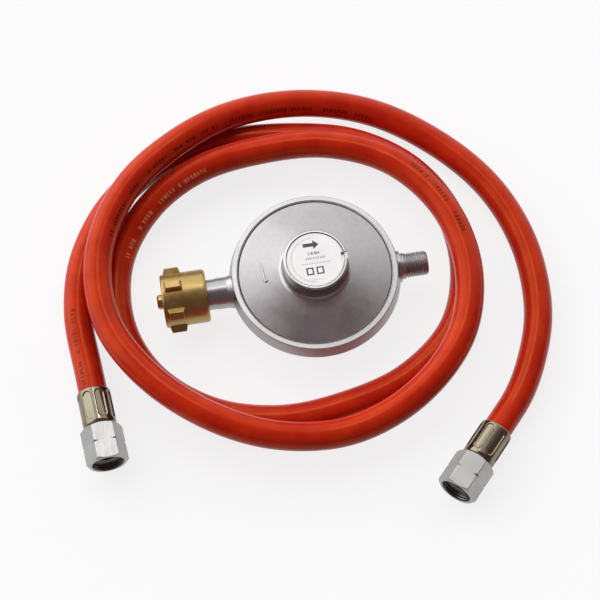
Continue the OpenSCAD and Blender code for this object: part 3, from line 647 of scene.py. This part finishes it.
def routePoints(steps):
    # the smooth curve through the route's points, with a straight end in each ferrule
    knots = [fittingPoint(fittingA, -hoseSizes["lead"])]
    knots += [Vector(point) for point in hoseRoute]
    knots += [fittingPoint(fittingB, -hoseSizes["lead"])]
    last = len(knots) - 1
    slopes = [(knots[min(i + 1, last)] - knots[max(i - 1, 0)]) / 2 for i in range(last + 1)]
    slopes[0] = -fittingAxis(fittingA) * (knots[1] - knots[0]).length
    slopes[last] = fittingAxis(fittingB) * (knots[last] - knots[last - 1]).length
    points = [fittingPoint(fittingA, hoseSizes["inFerrule"]), fittingPoint(fittingA, 0)]
    for i in range(last):
        for k in range(steps):
            t = k / steps
            a = 2 * t ** 3 - 3 * t ** 2 + 1
            b = t ** 3 - 2 * t ** 2 + t
            c = t ** 3 - t ** 2
            point = knots[i] * a + slopes[i] * b + knots[i + 1] * (1 - a) + slopes[i + 1] * c
            point.z = max(point.z, hoseSizes["radius"])
            points.append(point)
    points += [knots[last], fittingPoint(fittingB, 0), fittingPoint(fittingB, hoseSizes["inFerrule"])]
    return [point * mm for point in points]


def layTree():
    # bends a straight tube along a route and keeps each point's place on the tube
    tree, graph, given = newTree("layAlongRoute", {"Route": "Object", "Radius": "Float"})
    xyz = graph.split(graph.add("GeometryNodeInputPosition")[0])
    face = graph.join(xyz[0] / given["Radius"], xyz[1] / given["Radius"], xyz[2])
    kept = storeVector(graph, given["Geometry"], "hoseFace", face)
    route = graph.add("GeometryNodeObjectInfo", None, {0: given["Route"]})["Geometry"]
    route = graph.add("GeometryNodeSetCurveNormal", {"mode": "Z_UP"}, {0: route})[0]
    spot = graph.add("GeometryNodeSampleCurve", {"mode": "LENGTH"}, {"Curves": route, "Length": xyz[2]})
    up = graph.vector("CROSS_PRODUCT", spot["Tangent"], spot["Normal"])[0]
    across = graph.vector("SCALE", spot["Normal"], scale=xyz[0])[0]
    above = graph.vector("SCALE", up, scale=xyz[1])[0]
    place = graph.vector("ADD", spot["Position"], graph.vector("ADD", across, above)[0])[0]
    endMoved(graph, given, kept, place)
    return tree


def layHose():
    sizes = hoseSizes
    path = routePoints(sizes["spanSteps"])
    length = sum((b - a).length for a, b in zip(path, path[1:]))
    curve = bpy.data.curves.new("hoseRoute", "CURVE")
    curve.dimensions = "3D"
    spline = curve.splines.new("POLY")
    spline.points.add(len(path) - 1)
    for point, place in zip(spline.points, path):
        point.co = (*place, 1.0)
    route = bpy.data.objects.new("hoseRoute", curve)
    scene.collection.objects.link(route)
    rows = round(length / mm / sizes["ringStep"])
    marks = [length / mm * i / rows for i in range(rows + 1)]
    outline = [Vector((s, sizes["radius"])) for s in marks]
    outline += [Vector((s, sizes["bore"])) for s in reversed(marks)]
    stock = loftRound("hoseStock", lambda angle: outline, evenAngles(sizes["sides"]))
    finish = finishes["hose_rubber"]
    settings = {"Route": route, "Radius": sizes["radius"] * mm}
    mesh = runTree("hoseStock", stock, layTree(), finish, settings)
    bpy.data.objects.remove(route)
    hose = makePiece("orangeHose", mesh, finish, "hose", ["hose"], sharp=50)
    print("hose length", round(length, 4))
    return hose, path, length


hose, hosePath, hoseLength = layHose()


# crimped ferrules

ferruleSizes = {
    "length": 20.0, "radius": 8.7, "hoseGap": 7.55, "neck": 4.52, "floorStart": 18.6, "mouthRound": 0.35,
    "mouthEdge": 0.5, "shoulder": 1.7, "shoulderDrop": 0.4, "columns": 288, "rowStep": 0.25, "marks": 8,
    "markWidth": 4.7, "markLength": 15.2, "markCentre": 9.4, "markFloor": 8.05, "markBevel": 0.55,
    "markCrown": 0.4,
}
markLengths = ("Width", "Length", "Centre", "Floor", "Bevel")


def pressTree():
    # presses round-ended flat marks into a sleeve that stands along Z
    lengths = {label: "Float" for label in markLengths}
    tree, graph, given = newTree("pressMarks", {"Marks": "Int", "Crown": "Float", **lengths})
    xyz = graph.split(graph.add("GeometryNodeInputPosition")[0])
    radius = hypotenuse(xyz[0], xyz[1])
    step = turn / given["Marks"]
    angle = xyz[1].calc("ARCTAN2", xyz[0])
    local = ((angle / step).calc("FLOOR") + 0.5) * step - angle
    straight = (given["Length"] - given["Width"]) / 2
    beyond = (abs(xyz[2] - given["Centre"]) - straight).atLeast(0.0)
    outside = hypotenuse(abs(local) * radius, beyond) - given["Width"] / 2
    floor = given["Floor"] / (local * given["Crown"]).calc("COSINE")
    within = 0.35                            # share of the bevel that lies inside the mark
    rise = outside.ramp(given["Bevel"] * -within, given["Bevel"] * (1 - within))
    ratio = (floor + (radius - floor) * rise).atMost(radius) / radius
    endMoved(graph, given, given["Geometry"], graph.join(xyz[0] * ratio, xyz[1] * ratio, xyz[2]))
    return tree


def ferruleOutline():
    sizes = ferruleSizes
    length, radius, neck, gap = sizes["length"], sizes["radius"], sizes["neck"], sizes["hoseGap"]
    corners = [(0.0, gap, 0.15), (0.0, radius - sizes["mouthRound"], 0.12)]
    corners += evenRows(sizes["mouthEdge"], length - sizes["shoulder"], radius, sizes["rowStep"])
    corners += [(length, radius - sizes["shoulderDrop"], 1.2), (length, neck, 0.1)]
    corners += [(sizes["floorStart"], neck, 0), (sizes["floorStart"], gap, 0)]
    return softened(corners, 5)


def makeFerrule(name, fitting, node):
    sizes = ferruleSizes
    finish = finishes["plated_ferrule"]
    outline = ferruleOutline()
    blank = loftRound(name, lambda angle: outline, evenAngles(sizes["columns"]))
    settings = {"Marks": sizes["marks"], "Crown": sizes["markCrown"]}
    for label in markLengths:
        settings[label] = sizes["mark" + label] * mm
    mesh = runTree(name, blank, markPress, finish, settings)
    return makePiece(name, mesh, finish, "hose", [node], matrix=fittingMatrix(fitting))


markPress = pressTree()
ferruleA = makeFerrule("crimpedFerruleA", fittingA, "ferrule_a")
ferruleB = makeFerrule("crimpedFerruleB", fittingB, "ferrule_b")


# threads

def threadTree():
    # cuts a helical groove into every point of a turned piece that lies on the core radius
    labels = ("Core", "Depth", "Pitch", "Start", "End", "Runout", "Hand")
    tree, graph, given = newTree("cutThread", {label: "Float" for label in labels})
    position = graph.add("GeometryNodeInputPosition")[0]
    xyz = graph.split(position)
    kept = storeVector(graph, given["Geometry"], "turnedPlace", position)
    radius = hypotenuse(xyz[0], xyz[1])
    angle = xyz[1].calc("ARCTAN2", xyz[0]) / turn * given["Hand"]
    phase = (xyz[2] / given["Pitch"] - angle).calc("FRACT")
    flat = 0.08                              # share of the pitch that is flat at the crest, and at the root
    valley = abs(phase * 2 - 1).ramp(flat, 1 - flat, 1.0, 0.0, "LINEAR")
    shaped = valley * valley * (3 - 2 * valley) * 0.5 + valley * 0.5
    fadeIn = (xyz[2] - given["Start"]).ramp(0.0, given["Runout"])
    fadeOut = (given["End"] - xyz[2]).ramp(0.0, given["Runout"])
    onCore = abs(radius - given["Core"]) < 0.02 * mm
    ratio = (radius + shaped * fadeIn * fadeOut * onCore * given["Depth"]) / radius
    endMoved(graph, given, kept, graph.join(xyz[0] * ratio, xyz[1] * ratio, xyz[2]))
    return tree


threadCutter = threadTree()


def cutThread(name, mesh, finish, core, depth, pitch, ends, runout, hand):
    # sizes in mm; a depth below 0 cuts inwards, and hand is 1 or -1 for the two ways to wind
    sizes = {"Core": core, "Depth": depth, "Pitch": pitch, "Start": ends[0], "End": ends[1], "Runout": runout}
    settings = {label: size * mm for label, size in sizes.items()}
    return runTree(name, mesh, threadCutter, finish, {**settings, "Hand": hand})


# hexagon swivel nuts

nutSizes = {
    "flats": 19.0, "start": 20.5, "end": 40.5, "wall": 4.1, "hole": 4.55, "bore": 5.72, "relief": 0.35,
    "threadStart": 30.2, "threadEnd": 35.7, "counterStart": 36.9, "counter": 8.0, "counterEdge": 0.3,
    "counterStep": 0.1, "mouth": 8.6, "mouthEdge": 0.5, "faceIn": 0.2, "chamfer": 1.1, "chamferOver": 0.1,
    "corner": 0.4, "grooveDeep": 0.9, "grooveSlope": 0.714, "pitch": 1.337, "threadDepth": 0.75,
    "counterLines": 0.35, "linesAfter": 0.4, "runout": 0.6, "flatColumns": 10, "rowStep": 0.11,
}


def hexCorner():
    # how far out a corner's rounding is centred, and the angle off the corner where it meets the flat
    corner = nutSizes["corner"]
    centre = (nutSizes["flats"] / 2 - corner) / math.cos(math.pi / 6)
    return centre, math.atan2(corner * 0.5, centre + corner * math.cos(math.pi / 6))


def nutAngles():
    # close columns at the six corners, wider ones across the flats
    touch = hexCorner()[1]
    near = [touch * share for share in (-1.6, -1, -0.5, 0, 0.5, 1, 1.6)]
    gap = math.pi / 3 - 2 * near[-1]
    columns = nutSizes["flatColumns"]
    flat = [near[-1] + gap * k / columns for k in range(1, columns)]
    return [side * math.pi / 3 + angle for side in range(6) for angle in near + flat]


def hexRadius(angle):
    centre, touch = hexCorner()
    fromCorner = (angle + math.pi / 6) % (math.pi / 3) - math.pi / 6
    if abs(fromCorner) < touch:
        inside = nutSizes["corner"] ** 2 - (centre * math.sin(fromCorner)) ** 2
        return centre * math.cos(fromCorner) + math.sqrt(max(inside, 0.0))
    return nutSizes["flats"] / 2 / math.cos(math.pi / 6 - abs(fromCorner))


def nutOutline(angle):
    sizes = nutSizes
    start, end, radius = sizes["start"], sizes["end"], hexRadius(angle)
    cornerRadius = sizes["flats"] / math.sqrt(3)
    faceRadius = sizes["flats"] / 2 - sizes["faceIn"]
    slope = (cornerRadius + sizes["chamferOver"] - faceRadius) / sizes["chamfer"]
    back = (radius - faceRadius) / slope
    middle = (start + end) / 2
    deep = max(radius - (cornerRadius - sizes["grooveDeep"]), 0.0)
    wide = deep * sizes["grooveSlope"]
    corners = [
        (start, sizes["hole"], 0.1), (start, faceRadius, 0.12), (start + back, radius, 0.14),
        (middle - wide, radius, 0.06), (middle, radius - deep, 0.05), (middle + wide, radius, 0.06),
        (end - back, radius, 0.14), (end, faceRadius, 0.12), (end, sizes["mouth"], 0.12),
    ]
    counter, floor, step = sizes["counterStart"], start + sizes["wall"], sizes["rowStep"]
    corners += evenRows(end - sizes["mouthEdge"], counter + sizes["counterEdge"], sizes["counter"], step)
    corners += [(counter, sizes["counter"] - sizes["counterStep"], 0.05)]
    corners += evenRows(sizes["threadEnd"], sizes["threadStart"], sizes["bore"], step)
    relief = sizes["bore"] + sizes["relief"]
    corners += [(sizes["threadStart"], relief, 0), (floor, relief, 0), (floor, sizes["hole"], 0.1)]
    return softened(corners, 3)


def makeHexNut(name, fitting, node, body):
    sizes = nutSizes
    finish = finishes["nickel_nut"]
    mesh = loftRound(name, nutOutline, nutAngles())
    threadEnds = (sizes["threadStart"], sizes["threadEnd"])
    lineEnds = (sizes["counterStart"] + sizes["linesAfter"], sizes["end"] - sizes["mouthEdge"])
    cuts = [(sizes["bore"], sizes["threadDepth"], threadEnds),
            (sizes["counter"], sizes["counterLines"], lineEnds)]
    for core, depth, ends in cuts:
        mesh = cutThread(name, mesh, finish, core, depth, sizes["pitch"], ends, sizes["runout"], -1.0)
    return makePiece(name, mesh, finish, body, [node], sharp=30,
                     matrix=fittingMatrix(fitting, fitting["nutTurn"]))


hexNutA = makeHexNut("hexNutA", fittingA, "hose_nut_a", "hose_nut_a")
hexNutB = makeHexNut("hexNutB", fittingB, "hose_nut_b", "hose_nut_b")


# outlet spigot with its thread

axisHeight = 18.0
spigotStart, spigotEnd = [corner[0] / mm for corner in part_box("outlet_spigot")]
spigotSizes = {
    "shank": 5.6, "neck": 6.9, "neckLong": 2.1, "neckSlope": 0.8, "thread": 6.58, "threadLong": 11.6,
    "chamfer": 0.9, "seat": 4.7, "seatDepth": 3.0, "bore": 3.2, "pitch": 1.337, "depth": 0.62,
    "threadBefore": 0.4, "threadShort": 0.3, "runout": 0.7, "columns": 120, "rowStep": 0.1,
}


def onAxis(spin=0.0):
    # takes a piece made along +Z in metres to the inlet and outlet axis
    place = Matrix.Translation(Vector((0.0, 0.0, axisHeight)) * mm)
    return place @ Matrix.Rotation(math.pi / 2, 4, "Y") @ Matrix.Rotation(spin, 4, "Z")


def makeSpigot():
    sizes = spigotSizes
    threadStart = spigotEnd - sizes["threadLong"]
    neckEnd = threadStart - sizes["neckSlope"]
    boss = neckEnd - sizes["neckLong"]
    corners = [
        (spigotStart, sizes["bore"], 0.1), (spigotStart, sizes["shank"], 0.2), (boss, sizes["shank"], 0),
        (boss, sizes["neck"], 0.1), (neckEnd, sizes["neck"], 0.15),
    ]
    corners += evenRows(threadStart, spigotEnd - sizes["chamfer"], sizes["thread"], sizes["rowStep"])
    corners += [
        (spigotEnd, sizes["thread"] - sizes["chamfer"], 0.12), (spigotEnd, sizes["seat"], 0.12),
        (spigotEnd - sizes["seatDepth"], sizes["bore"], 0.1),
    ]
    outline = softened(corners, 3)
    blank = loftRound("outletSpigot", lambda angle: outline, evenAngles(sizes["columns"]))
    finish = finishes["zinc_dark"]
    ends = (threadStart - sizes["threadBefore"], spigotEnd - sizes["threadShort"])
    mesh = cutThread("outletSpigot", blank, finish, sizes["thread"], -sizes["depth"], sizes["pitch"], ends,
                     sizes["runout"], 1.0)
    makePiece("threadedSpigot", mesh, finish, "regulator", ["outlet_spigot"], sharp=40,
              matrix=onAxis())


makeSpigot()


# the lugged inlet nut

inletNutSizes = {
    "mouth": -80.5, "back": -57.0, "radius": 14.0, "round": 2.0, "mouthChamfer": 0.6, "bore": 10.2,
    "lead": 1.0, "firstRow": 1.2, "relief": 1.5, "hole": 8.05, "wall": 4.5, "pitch": 1.814,
    "threadDepth": 0.7, "runout": 0.8, "lugs": 6, "lugHigh": 3.0, "lugLong": 9.6, "lugWide": 6.0,
    "lugIn": 1.6, "lugSlope": 1.1, "lugTaper": 0.8, "lugSink": 0.8, "lugTurn": -8.0, "lugBevel": 0.35,
    "lugBevelSteps": 3, "columns": 144, "rowStep": 0.15,
}


def makeLug():
    # one bevelled lug, its foot sunk in the nut, standing along +X and running along +Z
    sizes = inletNutSizes
    foot, top = sizes["radius"] - sizes["lugSink"], sizes["radius"] + sizes["lugHigh"]
    length, wide = sizes["lugLong"], sizes["lugWide"] / 2
    slope, taper = sizes["lugSlope"], sizes["lugTaper"]
    points = [(foot, side * wide, along) for along in (0, length) for side in (-1, 1)]
    points += [(top, side * (wide - taper), along) for along in (slope, length - slope) for side in (-1, 1)]
    points = [Vector(point) * mm for point in points]
    faces = [(0, 2, 3, 1), (4, 5, 7, 6), (0, 1, 5, 4), (2, 6, 7, 3), (0, 4, 6, 2), (1, 3, 7, 5)]
    carrier = bpy.data.objects.new("lug", plainMesh("lug", points, faces))
    scene.collection.objects.link(carrier)
    bevel = carrier.modifiers.new("soften", "BEVEL")
    bevel.width = sizes["lugBevel"] * mm
    bevel.segments = sizes["lugBevelSteps"]
    carrier.data = evaluatedMesh(carrier)
    carrier.modifiers.remove(bevel)
    return carrier


def lugTree():
    # stands copies of one lug round the nut and fuses them with it
    inputs = {"Lug": "Object", "Count": "Int", "Turn": "Float", "Start": "Float"}
    tree, graph, given = newTree("ringOfLugs", inputs)
    lug = graph.add("GeometryNodeObjectInfo", None, {0: given["Lug"]})["Geometry"]
    start = graph.join(0.0, 0.0, given["Start"])
    seats = graph.add("GeometryNodePoints", None, {"Count": given["Count"], "Position": start})[0]
    index = graph.add("GeometryNodeInputIndex")[0]
    spin = graph.join(0.0, 0.0, given["Turn"] + index * turn / given["Count"])
    sockets = {"Points": seats, "Instance": lug, "Rotation": spin}
    ring = graph.add("GeometryNodeInstanceOnPoints", None, sockets)[0]
    ring = graph.add("GeometryNodeRealizeInstances", None, {0: ring})[0]
    both = graph.add("GeometryNodeMeshBoolean", {"operation": "UNION", "solver": "EXACT"})
    for part in (ring, given["Geometry"]):
        graph.feed(both.node.inputs["Mesh 2"], part)
    endTree(graph, given, both[0])
    return tree


def makeInletNut():
    sizes = inletNutSizes
    finish = finishes["yellow_brass"]
    back, mouth, radius, bore = sizes["back"], sizes["mouth"], sizes["radius"], sizes["bore"]
    floor, lead, chamfer = back - sizes["wall"], sizes["lead"], sizes["mouthChamfer"]
    corners = [
        (back, sizes["hole"], 0.15), (back, radius, sizes["round"]), (mouth + chamfer, radius, 0.15),
        (mouth, radius - chamfer, 0.15), (mouth, bore + lead, 0.12), (mouth + lead, bore, 0),
    ]
    corners += evenRows(mouth + sizes["firstRow"], floor - sizes["relief"], bore, sizes["rowStep"])
    corners += [(floor, bore, 0), (floor, sizes["hole"], 0.1)]
    outline = softened(corners, 4)
    blank = loftRound("inletNut", lambda angle: outline, evenAngles(sizes["columns"]))
    lug = makeLug()
    settings = {"Lug": lug, "Count": sizes["lugs"], "Turn": math.radians(sizes["lugTurn"]),
                "Start": (mouth + sizes["lugIn"]) * mm}
    mesh = runTree("inletNut", blank, lugTree(), finish, settings)
    bpy.data.objects.remove(lug)
    ends = (mouth + lead, floor - sizes["relief"])
    mesh = cutThread("inletNut", mesh, finish, bore, sizes["threadDepth"], sizes["pitch"], ends,
                     sizes["runout"], -1.0)
    makePiece("luggedInletNut", mesh, finish, "inlet_nut", ["inlet_nut"], sharp=32,
              matrix=onAxis(spin=math.pi))


makeInletNut()


# the raised mark on the lid

markSizes = {
    "path": [(-27.5, 8.9), (-27.2, 5.0), (-26.9, 1.0), (-26.7, -2.2), (-26.3, -2.7), (-25.7, -2.5),
             (-25.2, -1.9)],
    "halfWide": 0.7, "high": 0.55, "sunk": 0.2, "profile": 8, "endShare": 0.45,
}


def ridgeMesh():
    # a low rounded ridge along the path, drawn flat; z is its height over the lid
    sizes = markSizes
    path = [Vector(point) for point in sizes["path"]]
    last = len(path) - 1
    points = []
    for i, here in enumerate(path):
        way = (path[min(i + 1, last)] - path[max(i - 1, 0)]).normalized()
        side = Vector((way.y, -way.x))
        share = sizes["endShare"] if i in (0, last) else 1.0
        for k in range(sizes["profile"] + 1):
            angle = math.pi * k / sizes["profile"]
            spot = here + side * math.cos(angle) * sizes["halfWide"] * share
            points.append((*spot, math.sin(angle) * (sizes["high"] * share + sizes["sunk"]) - sizes["sunk"]))
    count = sizes["profile"] + 1
    faces = [tuple(range(count)), tuple(range(last * count, (last + 1) * count))]
    for i in range(last):
        for k in range(count):
            after = (k + 1) % count
            faces.append((i * count + k, i * count + after, (i + 1) * count + after, (i + 1) * count + k))
    return plainMesh("flowMark", [Vector(point) * mm for point in points], faces)


def settleTree():
    # lowers a piece drawn flat onto what lies under it
    tree, graph, given = newTree("settleOnto", {"Under": "Object"})
    high = 1.0                               # metres, well above the object
    xyz = graph.split(graph.add("GeometryNodeInputPosition")[0])
    under = graph.add("GeometryNodeObjectInfo", None, {0: given["Under"]})["Geometry"]
    sockets = {"Target Geometry": under, "Source Position": graph.join(xyz[0], xyz[1], high),
               "Ray Direction": (0.0, 0.0, -1.0), "Ray Length": 2 * high}
    hit = graph.split(graph.add("GeometryNodeRaycast", {"data_type": "FLOAT"}, sockets)["Hit Position"])
    endMoved(graph, given, given["Geometry"], graph.join(xyz[0], xyz[1], hit[2] + xyz[2]))
    return tree


def makeFlowMark():
    finish = finishes["zinc_lid"]
    mesh = runTree("flowMark", ridgeMesh(), settleTree(), finish, {"Under": frame["nodes"]["lid"]})
    makePiece("flowMark", mesh, finish, "regulator", sharp=60)


makeFlowMark()


# the spring and the diaphragm, each remade as a piece of its own

givingPieces = {
    "main_spring": ("mainSpring", "spring_steel"),
    "diaphragm": ("rubberDiaphragm", "black_rubber"),
}


def makeGiving(jointName):
    # each becomes a piece with a mesh of its own; the share 1 - lift / reach is worked out and not used
    joint = next(item for item in frame["record"]["behaviour"]["joints"] if item["name"] == jointName)
    lift = joint["range_m"][1]
    for giving in joint["deforming_nodes"]:
        node, fixedEnd = giving["node"], giving["fixed_end_z_m"]
        name, finishName = givingPieces[node]
        mesh = frame["nodes"][node].data.copy()
        closeShell(mesh)
        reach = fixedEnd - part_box(node)[0][2]
        piece = makePiece(name, mesh, finishes[finishName], "regulator", [node], sharp=40)
        1 - lift / reach
        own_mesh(piece)


makeGiving("diaphragm_lift")


# finishes of the pieces that come straight from the frame

nodeFinish = {
    "body_casting": "zinc_casting", "lid": "zinc_lid", "label_cap": "cap_plastic", "label": "label_white",
    "adjusting_ring": "brass", "spring_cup": "plated_steel", "stud_nut": "plated_steel",
    "diaphragm_plate": "plated_steel", "diaphragm_stud": "brass", "lever": "plated_steel",
    "lever_pin": "plated_steel", "plunger": "brass", "seat_pad": "black_rubber", "jet": "brass",
    "inlet_filter": "bronze_filter", "inlet_nose": "brass", "inlet_seal": "black_rubber",
    "nipple_a": "plated_steel", "nipple_b": "plated_steel",
}
for node, finishName in nodeFinish.items():
    slots = frame["nodes"][node].data.materials
    for i in range(len(slots)):
        slots[i] = finishes[finishName].material
print("frame pieces finished:", len(nodeFinish))


# floor, light and camera

studio = {
    "floorHalf": 8.0,
    "floorDrop": 0.05,                       # mm
    "floorBounce": srgb(180, 180, 180),      # what the floor gives back to the pieces
    "floorSeen": srgb(250, 250, 250),        # what the camera and the shiny pieces see of it
    "floorGlow": 0.8,
    "dimLight": 0.148,
    "dimColor": (1.22, 0.82, 0.84, 1.0),
    "whiteLight": (1.0, 1.0, 1.0, 1.0),
}
softWalls = [                                # wide soft lights; inner and outer are cosines from their middle
    {"azimuth": -57.7, "elevation": 25.7, "strength": 2.31, "outer": 0.654, "inner": 0.922},
    {"azimuth": 20.0, "elevation": 15.0, "strength": 1.225, "outer": 0.34, "inner": 0.879},
]


def direction(azimuth, elevation):
    # azimuth 0 looks along +Y and grows towards +X; both in degrees
    a, e = math.radians(azimuth), math.radians(elevation)
    return Vector((math.sin(a) * math.cos(e), math.cos(a) * math.cos(e), math.sin(e)))


def makeFloor():
    half = studio["floorHalf"]
    below = -studio["floorDrop"] * mm
    mesh = bpy.data.meshes.new("floor")
    corners = [(-half, -half, below), (half, -half, below), (half, half, below), (-half, half, below)]
    mesh.from_pydata(corners, [], [(0, 1, 2, 3)])
    floor = bpy.data.objects.new("floor", mesh)
    scene.collection.objects.link(floor)
    material = bpy.data.materials.new("paleFloor")
    material.use_nodes = True
    graph = Graph(material.node_tree)
    graph.tree.nodes.clear()
    rays = graph.add("ShaderNodeLightPath")
    seen = rays["Is Camera Ray"].atLeast(rays["Is Glossy Ray"]).atLeast(rays["Is Transmission Ray"])
    tone = graph.blendColor(seen, studio["floorBounce"], studio["floorSeen"])
    matt = graph.add("ShaderNodeBsdfDiffuse", None, {"Color": tone})[0]
    glow = graph.add("ShaderNodeEmission", None, {"Color": studio["whiteLight"], "Strength": 1.0})[0]
    mixed = graph.add("ShaderNodeMixShader", None, {0: seen * studio["floorGlow"], 1: matt, 2: glow})[0]
    graph.add("ShaderNodeOutputMaterial", None, {0: mixed})
    mesh.materials.append(material)


def makeWorld():
    world = bpy.data.worlds.new("softStudio")
    scene.world = world
    world.use_nodes = True
    graph = Graph(world.node_tree)
    graph.tree.nodes.clear()
    way = graph.add("ShaderNodeTexCoord")["Generated"]
    glow = 0.0
    for wall in softWalls:
        nearness = graph.vector("DOT_PRODUCT", way, direction(wall["azimuth"], wall["elevation"]))["Value"]
        glow = nearness.ramp(wall["outer"], wall["inner"], 0.0, wall["strength"]) + glow
    color = graph.blendColor(glow.ramp(0.0, 0.5), studio["dimColor"], studio["whiteLight"])
    sockets = {"Color": color, "Strength": glow + studio["dimLight"]}
    background = graph.add("ShaderNodeBackground", None, sockets)[0]
    graph.add("ShaderNodeOutputWorld", None, {0: background})


keyLamp = {"azimuth": 2.0, "elevation": 66.0, "distance": 1.45, "size": 0.3, "watts": 1.5}


def makeLamp():
    light = bpy.data.lights.new("keySoftbox", "AREA")
    light.shape = "SQUARE"
    light.size = keyLamp["size"]
    light.energy = keyLamp["watts"]
    item = bpy.data.objects.new("keySoftbox", light)
    scene.collection.objects.link(item)
    toLamp = direction(keyLamp["azimuth"], keyLamp["elevation"])
    item.location = toLamp * keyLamp["distance"]
    item.rotation_euler = (-toLamp).to_track_quat("-Z", "Y").to_euler()


cameraSet = {
    "azimuth": -9.2, "elevation": 68.0, "distance": 0.850, "aim": Vector((0.0, 0.0, 0.029)),
    "aimPixel": (315.1, 271.0), "frame": 600, "pixelSize": 0.00052, "sensor": 36.0,
}


def makeCamera():
    view = cameraSet
    azimuth, elevation = math.radians(view["azimuth"]), math.radians(view["elevation"])
    right = Vector((math.cos(azimuth), math.sin(azimuth), 0.0))
    level = math.cos(elevation)
    back = Vector((math.sin(azimuth) * level, -math.cos(azimuth) * level, math.sin(elevation)))
    up = back.cross(right)
    half = view["frame"] / 2
    shiftRight = (view["aimPixel"][0] - half) * view["pixelSize"]
    shiftUp = (half - view["aimPixel"][1]) * view["pixelSize"]
    place = view["aim"] - right * shiftRight - up * shiftUp + back * view["distance"]
    lens = bpy.data.cameras.new("camera")
    lens.sensor_width = view["sensor"]
    lens.lens = view["sensor"] * view["distance"] / view["pixelSize"] / view["frame"]
    camera = bpy.data.objects.new("camera", lens)
    camera.matrix_world = Matrix.Translation(place) @ Matrix((right, up, back)).transposed().to_4x4()
    scene.collection.objects.link(camera)
    scene.camera = camera


makeFloor()
makeWorld()
makeLamp()
makeCamera()
scene.view_settings.view_transform = "Standard"
print("studio set")
